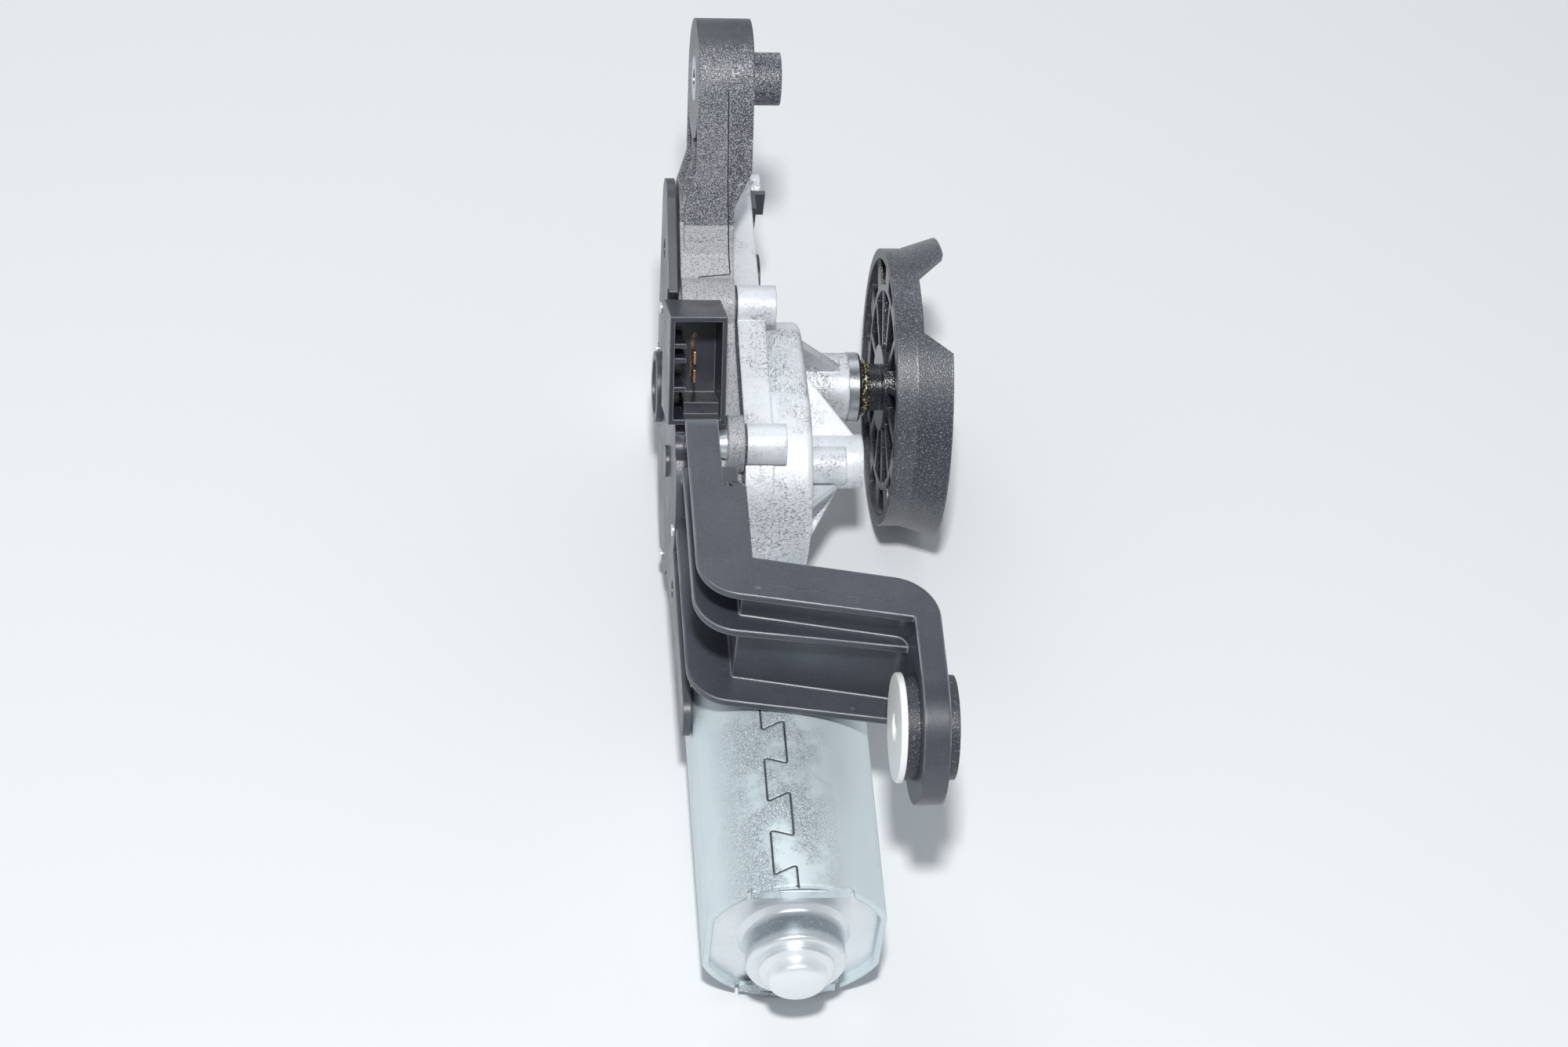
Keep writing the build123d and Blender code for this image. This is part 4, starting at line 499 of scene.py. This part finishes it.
def galvanised():
    """Galvanised can: pale matte zinc with grey speckle beside the seam."""
    coat = Finish("galvanised_sheet", (0.67, 0.76, 0.79), 0.42, metal=0.3)
    # painted highlight: paler colour along the rounded edges
    coat.rounded(0.6, (0.84, 0.89, 0.91), 0.8)
    coat.second_colour(30.0, (0.61, 0.70, 0.74), 0.8, 0.40, 0.66)
    left = coat.beyond(TO_LINKAGE, *SPECKLE_LEFT)
    right = coat.beyond(FROM_LINKAGE, *SPECKLE_RIGHT)
    beside = coat.product(left, right)
    cluster = coat.product(coat.patches(70.0, 0.44, 0.54, 3.0), beside)
    speckle = coat.layer(GRAIN, Scale=2700.0, Share=0.47)
    painted_glints = coat.layer(GRAIN, Scale=2100.0, Share=0.58)
    marks = coat.product(cluster, speckle["Grains"])
    coat.tint(cluster, (0.49, 0.555, 0.595), 0.8)
    coat.tint(marks, (0.20, 0.24, 0.27), 0.7)
    # painted glint specks: pale specks in the speckled clusters
    coat.tint(coat.product(cluster, painted_glints["Grains"]), (0.88, 0.92, 0.95), 0.8)
    coat.tint(coat.scratches(520.0, 0.76, 0.80), (0.40, 0.44, 0.47), 0.5)
    coat.gloss(marks, 0.6)
    coat.relief(coat.patches(60.0, 0.2, 0.8, 9.0), 0.10)
    coat.relief(coat.product(speckle["Height"], cluster), 0.05)
    return coat.material


# the shaded band on the cap's step: its two ends and its upper side, then the dome
STEP_START = (160.0, 161.5)
STEP_END = (-165.8, -164.6)
STEP_UPPER = (-14.3, -8.3)
CAP_DOME = (168.4, 169.4)


def drawn_steel():
    """Zinc-coated drawn cap: shinier than the can, with a shaded band and a pale dome."""
    coat = Finish("drawn_zinc_cap", (0.80, 0.835, 0.86), 0.31, metal=0.85)
    # painted highlight: paler colour along the rounded edges
    coat.rounded(0.5, (0.86, 0.89, 0.91), 0.7)
    coat.second_colour(70.0, (0.74, 0.775, 0.795), 0.7, end=0.62)
    band = coat.product(coat.beyond(TO_MOTOR, *STEP_START), coat.beyond(FROM_MOTOR, *STEP_END))
    shaded = coat.product(band, coat.beyond(UPWARDS, *STEP_UPPER))
    coat.tint(shaded, (0.30, 0.345, 0.385), 0.8)
    coat.tint(coat.scratches(1700.0, 0.66, 0.71, 5.0), (0.90, 0.92, 0.94), 0.45)
    dome = coat.beyond(TO_MOTOR, *CAP_DOME)
    coat.tint(dome, (0.90, 0.925, 0.935), 0.7)
    coat.change("Metallic", dome, 0.6)
    coat.second_gloss(120.0, 0.46)
    coat.fine_relief(1400.0, 0.02)
    return coat.material


def zinc_plate():
    """Bright passivated zinc on screws, pins and washers."""
    coat = Finish("zinc_plated_steel", (0.84, 0.88, 0.89), 0.30, metal=0.8)
    # painted highlight: paler colour along the rounded edges
    coat.rounded(0.35, (0.95, 0.96, 0.97), 0.8)
    coat.second_colour(160.0, (0.72, 0.77, 0.79), 0.8, 0.44, 0.64)
    coat.second_gloss(220.0, 0.42)
    coat.fine_relief(2200.0, 0.02)
    return coat.material


def washer_coat():
    """Off-white smooth zinc of the two large washers."""
    coat = Finish("washer_pale_zinc", (0.95, 0.96, 0.935), 0.34, metal=0.15)
    coat.rounded(0.4, (0.93, 0.95, 0.93), 0.8)
    coat.second_colour(70.0, (0.86, 0.88, 0.85), 0.6, end=0.64)
    coat.second_gloss(120.0, 0.46)
    coat.fine_relief(1700.0, 0.015)
    return coat.material


def old_grease():
    """Dark grease with pale specks."""
    coat = Finish("old_grease", (0.030, 0.027, 0.018), 0.20, coat=0.3)
    specks = coat.layer(GRAIN, Scale=1500.0, Share=0.54)
    coat.tint(specks["Grains"], (0.55, 0.47, 0.26), 0.85)
    coat.relief(specks["Height"], 0.12)
    return coat.material


EDGE_HIGHLIGHT_LIFT = 1.3                     # edges are painted this much brighter, as painted highlight
WORN_ROUGHER = 0.12


def simple_finish(name, colour, worn, rough, metal=0.0, coat_weight=0.0, depth=0.015):
    """Finish with patches of a second colour, grain, and rounded edges painted brighter as a painted
    highlight.
    """
    coat = Finish(name, colour, rough, metal=metal, coat=coat_weight)
    coat.rounded(0.25, tuple(min(1.0, EDGE_HIGHLIGHT_LIFT * part) for part in colour), 0.8)
    coat.second_colour(180.0, worn, 0.9, 0.44, 0.64)
    coat.second_gloss(240.0, rough + WORN_ROUGHER)
    coat.fine_relief(2400.0, depth)
    return coat.material


BRACKET_PLASTIC = bracket_plastic()
COVER_PLASTIC = cover_plastic()
CONNECTOR_PLASTIC = connector_plastic()
DISC_PLASTIC = disc_plastic()
RUBBER = rubber()
CAST_ALUMINIUM = cast_aluminium()
GALVANISED = galvanised()
DRAWN_STEEL = drawn_steel()
ZINC_PLATE = zinc_plate()
WASHER_COAT = washer_coat()
GROUND_STEEL = simple_finish("ground_steel", (0.52, 0.54, 0.57), (0.40, 0.42, 0.45), 0.24, metal=1.0)
BRONZE = simple_finish("sintered_bronze", (0.55, 0.38, 0.20), (0.36, 0.24, 0.13), 0.42, metal=1.0,
                       depth=0.03)
COPPER = simple_finish("bare_copper", (0.90, 0.48, 0.25), (0.72, 0.34, 0.16), 0.24, metal=1.0)
FERRITE = simple_finish("grey_ferrite", (0.075, 0.075, 0.08), (0.12, 0.12, 0.125), 0.6, depth=0.03)
NYLON = simple_finish("white_nylon", (0.74, 0.73, 0.68), (0.62, 0.60, 0.52), 0.38)
HOLDER_PLASTIC = simple_finish("brown_holder_plastic", (0.16, 0.10, 0.06), (0.10, 0.065, 0.04), 0.45)
LAMINATE = simple_finish("board_laminate", (0.02, 0.13, 0.06), (0.03, 0.18, 0.08), 0.32,
                         coat_weight=0.4)
COMPONENT_BLACK = simple_finish("component_black", (0.02, 0.02, 0.022), (0.035, 0.035, 0.04), 0.4)
MOULD_FLASH = simple_finish("mould_flash", (0.014, 0.016, 0.020), (0.035, 0.038, 0.045), 0.30)
SEAM_GAP = simple_finish("seam_gap", (0.10, 0.12, 0.135), (0.05, 0.06, 0.07), 0.55, metal=0.3)
GREASE = old_grease()

# each finish with the CAD nodes that have it
FINISHES = (
    (CAST_ALUMINIUM, ("gear_housing",)),
    (BRACKET_PLASTIC, ("mounting_bracket",)),
    (COVER_PLASTIC, ("gear_cover", "cover_cap", "edge_clip")),
    (CONNECTOR_PLASTIC, ("connector_socket", "housing_plug")),
    (DISC_PLASTIC, ("coupling_disc",)),
    (COPPER, ("connector_terminals", "armature_windings", "commutator")),
    (GALVANISED, ("motor_can", "front_plate")),
    (DRAWN_STEEL, ("end_cap",)),
    (ZINC_PLATE, ("case_screws", "motor_screws", "cover_pins", "disc_washer", "disc_nut")),
    (WASHER_COAT, ("foot_washer", "leg_washer")),
    (GROUND_STEEL, ("armature_shaft", "output_shaft", "wheel_axle", "crank_pin", "link_pin",
                    "thrust_ball", "foot_sleeve", "leg_sleeve", "lobe_threaded_insert", "shaft_clip",
                    "link_clip", "brush_springs", "worm", "drive_pinion", "toothed_link", "guide_link",
                    "seal_collar", "armature_core")),
    (BRONZE, ("inner_shaft_bush", "outer_shaft_bush", "armature_nose_bush", "front_bearing",
              "rear_bearing")),
    (FERRITE, ("field_magnets", "brushes")),
    (NYLON, ("worm_wheel", "thrust_pad")),
    (HOLDER_PLASTIC, ("brush_holder",)),
    (LAMINATE, ("circuit_board",)),
    (COMPONENT_BLACK, ("driver_chip", "motor_relay", "board_capacitors")),
    (RUBBER, ("foot_rubber_bush", "leg_rubber_bush", "shaft_seal", "case_gasket", "cover_gasket")),
)
for finish, names in FINISHES:
    for name in names:
        nodes[name].data.materials.clear()
        nodes[name].data.materials.append(finish)


# ---------------------------------------------------------------- helpers for fine forms
WELD = 1e-6                         # metres


def merged(name):
    """Copy of a CAD node's mesh with its loose triangles joined."""
    shape = bmesh.new()
    shape.from_mesh(nodes[name].data)
    bmesh.ops.remove_doubles(shape, verts=shape.verts, dist=WELD)
    mesh = bpy.data.meshes.new(name + "_merged")
    shape.verts.ensure_lookup_table()
    mesh.from_pydata([vertex.co[:] for vertex in shape.verts], [],
                     [[corner.index for corner in face.verts] for face in shape.faces])
    shape.free()
    return mesh


def add_piece(name, mesh, finish, body, smooth=30):
    """A piece of one finish on a body; edges sharper than so many degrees stay sharp."""
    mesh.materials.clear()
    mesh.materials.append(finish)
    mesh.polygons.foreach_set("use_smooth", [True] * len(mesh.polygons))
    mesh.set_sharp_from_angle(angle=radians(smooth))
    piece = bpy.data.objects.new(name, mesh)
    bpy.context.scene.collection.objects.link(piece)
    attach(piece, body)
    return piece


def outward_mesh(name, points, faces):
    """Mesh whose faces all point outwards."""
    mesh = bpy.data.meshes.new(name)
    mesh.from_pydata([place[:] for place in points], [], faces)
    shape = bmesh.new()
    shape.from_mesh(mesh)
    bmesh.ops.recalc_face_normals(shape, faces=shape.faces)
    shape.to_mesh(mesh)
    shape.free()
    return mesh


def evaluated_mesh(work):
    """Plain mesh of an object with its modifiers applied."""
    bpy.context.view_layer.update()
    graph = bpy.context.evaluated_depsgraph_get()
    return bpy.data.meshes.new_from_object(work.evaluated_get(graph))


# ---------------------------------------------------------------- shape trees
SOCKET_KINDS = {"number": "NodeSocketFloat", "count": "NodeSocketInt", "finish": "NodeSocketMaterial"}


class ShapeTree:
    """Geometry Nodes tree with named inputs, ended by Realize Instances and Set Material."""

    def __init__(self, name, **inputs):
        self.tree = bpy.data.node_groups.new(name, "GeometryNodeTree")
        sockets = self.tree.interface
        sockets.new_socket("Start", in_out="INPUT", socket_type="NodeSocketGeometry")
        for label, kind in inputs.items():
            sockets.new_socket(label, in_out="INPUT", socket_type=SOCKET_KINDS[kind])
        sockets.new_socket("Shape", in_out="OUTPUT", socket_type="NodeSocketGeometry")
        self.entry = self.tree.nodes.new("NodeGroupInput").outputs
        self.leave = self.tree.nodes.new("NodeGroupOutput").inputs

    def add(self, kind, inputs, operation=None):
        """First output of a new node; its inputs, by name or number, get values or links."""
        node = self.tree.nodes.new(kind)
        if operation:
            node.operation = operation
        for label, value in inputs.items():
            if isinstance(value, bpy.types.NodeSocket):
                self.tree.links.new(value, node.inputs[label])
            else:
                node.inputs[label].default_value = value
        return node.outputs[0]

    def close(self, shape):
        """End the tree with this shape."""
        real = self.add("GeometryNodeRealizeInstances", {"Geometry": shape})
        done = self.add("GeometryNodeSetMaterial", {"Geometry": real, "Material": self.entry["Finish"]})
        self.tree.links.new(done, self.leave["Shape"])

    def make(self, name, start, **values):
        """Plain mesh that the tree makes of a starting mesh and its inputs' values."""
        work = bpy.data.objects.new(name + "_work", start)
        bpy.context.scene.collection.objects.link(work)
        grown = work.modifiers.new("shape", "NODES")
        grown.node_group = self.tree
        for socket in self.tree.interface.items_tree:
            if socket.in_out == "INPUT" and socket.name in values:
                grown[socket.identifier] = values[socket.name]
        mesh = evaluated_mesh(work)
        mesh.name = name
        work.modifiers.remove(grown)
        bpy.data.objects.remove(work)
        return mesh


def line_mesh(name, points):
    """Mesh of edges through points."""
    mesh = bpy.data.meshes.new(name)
    edges = [(row, row + 1) for row in range(len(points) - 1)]
    mesh.from_pydata([place[:] for place in points], edges, [])
    return mesh


def bead_tree():
    """Round bead along a path of edges."""
    tree = ShapeTree("bead_along_path", Radius="number", Sides="count", Finish="finish")
    path = tree.add("GeometryNodeMeshToCurve", {"Mesh": tree.entry["Start"]})
    section = tree.add("GeometryNodeCurvePrimitiveCircle",
                       {"Resolution": tree.entry["Sides"], "Radius": tree.entry["Radius"]})
    bead = tree.add("GeometryNodeCurveToMesh",
                    {"Curve": path, "Profile Curve": section, "Fill Caps": True})
    tree.close(bead)
    return tree


BORE_CUT_LENGTH = 1.0               # metres, longer than any ring


def knurled_ring_tree():
    """Ring along Z with a plain bore, and every second point of its outside drawn in."""
    tree = ShapeTree("knurled_ring", Points="count", Outer="number", Bore="number", Length="number",
                     Depth="number", Finish="finish")
    whole = tree.add("GeometryNodeMeshCylinder",
                     {"Vertices": tree.entry["Points"], "Radius": tree.entry["Outer"],
                      "Depth": tree.entry["Length"]})
    number = tree.add("GeometryNodeInputIndex", {})
    odd = tree.add("FunctionNodeIntegerMath", {0: number, 1: 2}, "MODULO")
    drawn_in = tree.add("ShaderNodeMath", {0: odd, 1: tree.entry["Depth"]}, "MULTIPLY")
    place = tree.add("GeometryNodeInputPosition", {})
    inward = tree.add("ShaderNodeVectorMath", {0: place, 1: (-1, -1, 0)}, "MULTIPLY")
    unit = tree.add("ShaderNodeVectorMath", {0: inward}, "NORMALIZE")
    shift = tree.add("ShaderNodeVectorMath", {0: unit, "Scale": drawn_in}, "SCALE")
    knurled = tree.add("GeometryNodeSetPosition", {"Geometry": whole, "Offset": shift})
    bore = tree.add("GeometryNodeMeshCylinder",
                    {"Vertices": tree.entry["Points"], "Radius": tree.entry["Bore"],
                     "Depth": BORE_CUT_LENGTH})
    ring = tree.add("GeometryNodeMeshBoolean", {"Mesh 1": knurled, "Mesh 2": bore}, "DIFFERENCE")
    ring.node.solver = "EXACT"
    tree.close(ring)
    return tree


BEAD = bead_tree()
KNURLED_RING = knurled_ring_tree()


# ---------------------------------------------------------------- seam of the motor can
# millimetres in the part's frame
CAN_AXIS_X, CAN_AXIS_Z, CAN_R = 6.5, -15.3, 23.0
CAN_FRONT, CAN_REAR = -96.5, -160.7
SEAM_SIDES = (0.2, 5.5)             # the seam crosses from one to the other and back
SEAM_PITCH = 10.5
SEAM_FIRST_STEP = -103.6
SEAM_DOVETAIL = 1.1                 # half of how far each crossing leans
SEAM_CORNER = 0.9
SEAM_R, SEAM_SUNK = 0.27, 0.12      # of the groove, and of its middle below the skin
SEAM_MARGIN = 1.0
CORNER_STEPS = 4
SKIN_FLATNESS = 0.04                # the can's facets lie at most this far inside its round
GROOVE_SPARE = 0.1


def rounded_path(corners, radius):
    """Points of a path in (x, y) whose corners are rounded."""
    path = [corners[0]]
    for before, corner, after in zip(corners, corners[1:], corners[2:]):
        start = corner + (before - corner).normalized() * radius
        end = corner + (after - corner).normalized() * radius
        for step in range(CORNER_STEPS + 1):
            share = step / CORNER_STEPS
            path.append(start.lerp(corner, share).lerp(corner.lerp(end, share), share))
    path.append(corners[-1])
    return path


def seam_path():
    """Dovetailed butt joint of the rolled can, from its front edge to its rear edge."""
    corners = [Vector((SEAM_SIDES[1], CAN_FRONT + SEAM_MARGIN))]
    side, step_y = 1, SEAM_FIRST_STEP
    while step_y > CAN_REAR + SEAM_MARGIN:
        corners.append(Vector((SEAM_SIDES[side], step_y - SEAM_DOVETAIL)))
        side = 1 - side
        corners.append(Vector((SEAM_SIDES[side], step_y + SEAM_DOVETAIL)))
        step_y -= SEAM_PITCH
    corners.append(Vector((SEAM_SIDES[side], CAN_REAR - SEAM_MARGIN)))
    return rounded_path(corners, SEAM_CORNER)


def seam_cutter():
    """Round bead that follows the seam through the can's skin."""
    line = []
    for x, y in seam_path():
        height = sqrt((CAN_R - SEAM_SUNK) ** 2 - (x - CAN_AXIS_X) ** 2)
        line.append(Vector((x, y, CAN_AXIS_Z + height)) * MM)
    return BEAD.make("seam_cutter", line_mesh("seam_line", line), Radius=SEAM_R * MM, Sides=10)


def in_the_seam(centre):
    """Whether a face's centre, in millimetres, lies in the groove."""
    x, _, z = centre
    depth = CAN_R - sqrt((x - CAN_AXIS_X) ** 2 + (z - CAN_AXIS_Z) ** 2)
    beside = SEAM_SIDES[0] - SEAM_MARGIN < x < SEAM_SIDES[1] + SEAM_MARGIN
    deepest = SEAM_R + SEAM_SUNK + GROOVE_SPARE
    return beside and z > CAN_AXIS_Z and SKIN_FLATNESS < depth < deepest


def seamed_can():
    """The motor can with its dovetailed seam cut as a fine groove."""
    can = bpy.data.objects.new("can_work", merged("motor_can"))
    cutter = bpy.data.objects.new("seam_work", seam_cutter())
    for work in (can, cutter):
        bpy.context.scene.collection.objects.link(work)
    cut = can.modifiers.new("seam", "BOOLEAN")
    cut.operation = "DIFFERENCE"
    cut.solver = "EXACT"
    cut.object = cutter
    mesh = evaluated_mesh(can)
    for work in (can, cutter):
        bpy.data.objects.remove(work)
    piece = add_piece("motor_can_seamed", mesh, GALVANISED, "motor")
    mesh.materials.append(SEAM_GAP)
    for face in mesh.polygons:
        face.material_index = int(in_the_seam(face.center / MM))
    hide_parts("motor_can")


seamed_can()


# ---------------------------------------------------------------- mould lines
LINE_SPACING = 1.0                  # millimetres between its points
LINE_REACH = 0.004                  # metres from its guide to the surface at most


def cast_line(node, guide, direction):
    """Points and normals where a guide in millimetres meets a node's surface along a direction."""
    mesh = nodes[node].data
    tree = BVHTree.FromPolygons([vertex.co[:] for vertex in mesh.vertices],
                                [face.vertices[:] for face in mesh.polygons])
    towards = Vector(direction).normalized()
    places = []
    for start, end in zip(guide, guide[1:]):
        start, end = Vector(start), Vector(end)
        steps = max(1, round((end - start).length / LINE_SPACING))
        places += [start.lerp(end, step / steps) for step in range(steps)]
    places.append(Vector(guide[-1]))
    line = []
    for place in places:
        outside = place * MM - towards * LINE_REACH
        point, normal, _, _ = tree.ray_cast(outside, towards, 2 * LINE_REACH)
        if point:
            line.append((point, normal))
    return line


def mould_line(name, node, guide, direction, radius, height):
    """Thin raised line where the halves of a mould met."""
    found = cast_line(node, guide, direction)
    line = [point - normal * (radius - height) * MM for point, normal in found]
    path = line_mesh(name + "_path", line)
    mesh = BEAD.make(name, path, Radius=radius * MM, Sides=8, Finish=MOULD_FLASH)
    add_piece(name, mesh, MOULD_FLASH, "motor")


INTO_ARM, DOWNWARDS = (0.0, 0.829, -0.559), (0, 0, -1)
# guides beside the surface, in millimetres
ARM_LINE = ((-3.0, 33.6, 72.4), (-2.6, 21.0, 53.0), (-1.7, 8.1, 33.9), (-9.6, 7.7, 33.4),
            (-9.4, 4.4, 28.4))
TOP_SHELF_LINE = ((-4.0, -102.24, 46.5), (31.0, -108.86, 46.5))
mould_line("arm_mould_line", "mounting_bracket", ARM_LINE, INTO_ARM, radius=0.2, height=0.1)
mould_line("shelf_mould_line", "mounting_bracket", TOP_SHELF_LINE, DOWNWARDS, radius=0.15, height=0.06)


# ---------------------------------------------------------------- grease at the shaft
# millimetres in the part's frame
GREASE_X, GREASE_R, GREASE_THICK = 34.9, 6.2, 1.3
GREASE_OUTWARD, GREASE_ALONG = 0.75, 0.8                            # shares of its thickness
GREASE_LUMPS = ((0.18, 5, 0.0), (0.13, 11, 1.0), (0.1, 23, 2.0))    # size, count and start
GREASE_AROUND, GREASE_ACROSS = 72, 10                               # points of the ring


def grease_ring():
    """Uneven ring of grease squeezed out between seal and shaft."""
    points = []
    faces = []
    for turn in range(GREASE_AROUND):
        angle = 2 * pi * turn / GREASE_AROUND
        lump = sum((size * sin(count * angle + start) for size, count, start in GREASE_LUMPS), 1)
        outward = Vector((0, cos(angle), sin(angle)))
        here = turn * GREASE_ACROSS
        there = (turn + 1) % GREASE_AROUND * GREASE_ACROSS
        for step in range(GREASE_ACROSS):
            lean = 2 * pi * step / GREASE_ACROSS
            after = (step + 1) % GREASE_ACROSS
            reach = GREASE_R + GREASE_THICK * lump * GREASE_OUTWARD * cos(lean)
            x = GREASE_X + GREASE_THICK * GREASE_ALONG * sin(lean)
            points.append((Vector((x, 0, 0)) + outward * reach) * MM)
            faces.append((here + step, here + after, there + after, there + step))
    add_piece("grease_ring", outward_mesh("grease_ring", points, faces), GREASE, "motor", smooth=60)


grease_ring()


# ---------------------------------------------------------------- knurled insert
# millimetres in the part's frame
INSERT_R, INSERT_BORE_R = 5.9, 2.5
INSERT_BACK, INSERT_END = -10.4, 1.4
LOBE_Y, LOBE_Z = 46.4, 63.9
KNURLS = 24
KNURL_DEPTH = 0.45


def knurled_insert():
    """Threaded insert with a knurled outside, in place of its plain ring."""
    empty = bpy.data.meshes.new("insert_start")
    mesh = KNURLED_RING.make("knurled_insert", empty, Points=2 * KNURLS, Outer=INSERT_R * MM,
                             Bore=INSERT_BORE_R * MM, Length=(INSERT_END - INSERT_BACK) * MM,
                             Depth=KNURL_DEPTH * MM, Finish=GROUND_STEEL)
    middle = Vector(((INSERT_BACK + INSERT_END) / 2, LOBE_Y, LOBE_Z)) * MM
    mesh.transform(Matrix.Translation(middle) @ Matrix.Rotation(pi / 2, 4, "Y"))
    piece = add_piece("knurled_insert", mesh, GROUND_STEEL, "motor", smooth=20)
    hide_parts("lobe_threaded_insert")


knurled_insert()


# ---------------------------------------------------------------- table, light and camera
# metres from here on
TABLE_HALF = 3.0
TABLE_GAP = 0.0001
TABLE_CORNERS = ((-1, -1), (1, -1), (1, 1), (-1, 1))


def flat_stage():
    """Wide pale table under the part."""
    level = min(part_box(name)[0].z for name in nodes) - TABLE_GAP
    corners = [(x * TABLE_HALF, y * TABLE_HALF, level) for x, y in TABLE_CORNERS]
    mesh = bpy.data.meshes.new("table")
    mesh.from_pydata(corners, [], [(0, 1, 2, 3)])
    table = bpy.data.objects.new("table", mesh)
    bpy.context.scene.collection.objects.link(table)
    mesh.materials.append(Finish("pale_table", (0.79, 0.802, 0.81), 0.6, specular=0.2).material)


flat_stage()


LIT_PLACE = Vector((0.0, -0.04, 0.0))


def panel_light(name, where, size, power, colour=(1, 1, 1)):
    """Square area light that faces the part."""
    data = bpy.data.lights.new(name, "AREA")
    data.size = size
    data.energy = power
    data.color = colour
    lamp = bpy.data.objects.new(name, data)
    lamp.location = where
    lamp.rotation_euler = (LIT_PLACE - Vector(where)).to_track_quat("-Z", "Y").to_euler()
    bpy.context.scene.collection.objects.link(lamp)


panel_light("key_lamp", (-0.105, -0.56, 1.05), size=0.08, power=10.5)
panel_light("back_panel", (-0.15, 0.85, 1.00), size=0.8, power=3.5, colour=(0.92, 0.965, 1.0))


HORIZON_LIGHT, ZENITH_LIGHT = 0.64, 0.24
ROOM_COLOUR = (0.90, 0.95, 1.0, 1)


def soft_surroundings():
    """Pale room light, brighter towards the horizon."""
    world = bpy.data.worlds.new("pale_room")
    world.use_nodes = True
    tree = world.node_tree
    background = tree.nodes["Background"]
    place = tree.nodes.new("ShaderNodeTexCoord")
    parts = tree.nodes.new("ShaderNodeSeparateXYZ")
    tree.links.new(place.outputs["Generated"], parts.inputs["Vector"])
    fade = tree.nodes.new("ShaderNodeMapRange")
    fade.inputs["To Min"].default_value = HORIZON_LIGHT
    fade.inputs["To Max"].default_value = ZENITH_LIGHT
    tree.links.new(parts.outputs["Z"], fade.inputs["Value"])
    tree.links.new(fade.outputs["Result"], background.inputs["Strength"])
    background.inputs["Color"].default_value = ROOM_COLOUR
    bpy.context.scene.world = world


soft_surroundings()


TO_CAMERA = Vector((-0.113, -0.638671, 0.761138))
CAMERA_PLACE = (-0.1112, -0.7373, 0.8244)
LENS_MM, SENSOR_MM = 100.0, 36.0
NEAREST_SEEN = 0.05


def long_lens_view():
    """Long lens from above the motor can, a little left of its axis."""
    right = Vector((1, 0, 0)) - TO_CAMERA * TO_CAMERA.x
    right.normalize()
    up = TO_CAMERA.cross(right)
    data = bpy.data.cameras.new("camera")
    data.lens = LENS_MM
    data.sensor_width = SENSOR_MM
    data.clip_start = NEAREST_SEEN
    camera = bpy.data.objects.new("camera", data)
    camera.rotation_euler = Matrix((right, up, TO_CAMERA)).transposed().to_euler()
    camera.location = CAMERA_PLACE
    bpy.context.scene.collection.objects.link(camera)
    bpy.context.scene.camera = camera


long_lens_view()
bpy.context.scene.view_settings.view_transform = "Standard"
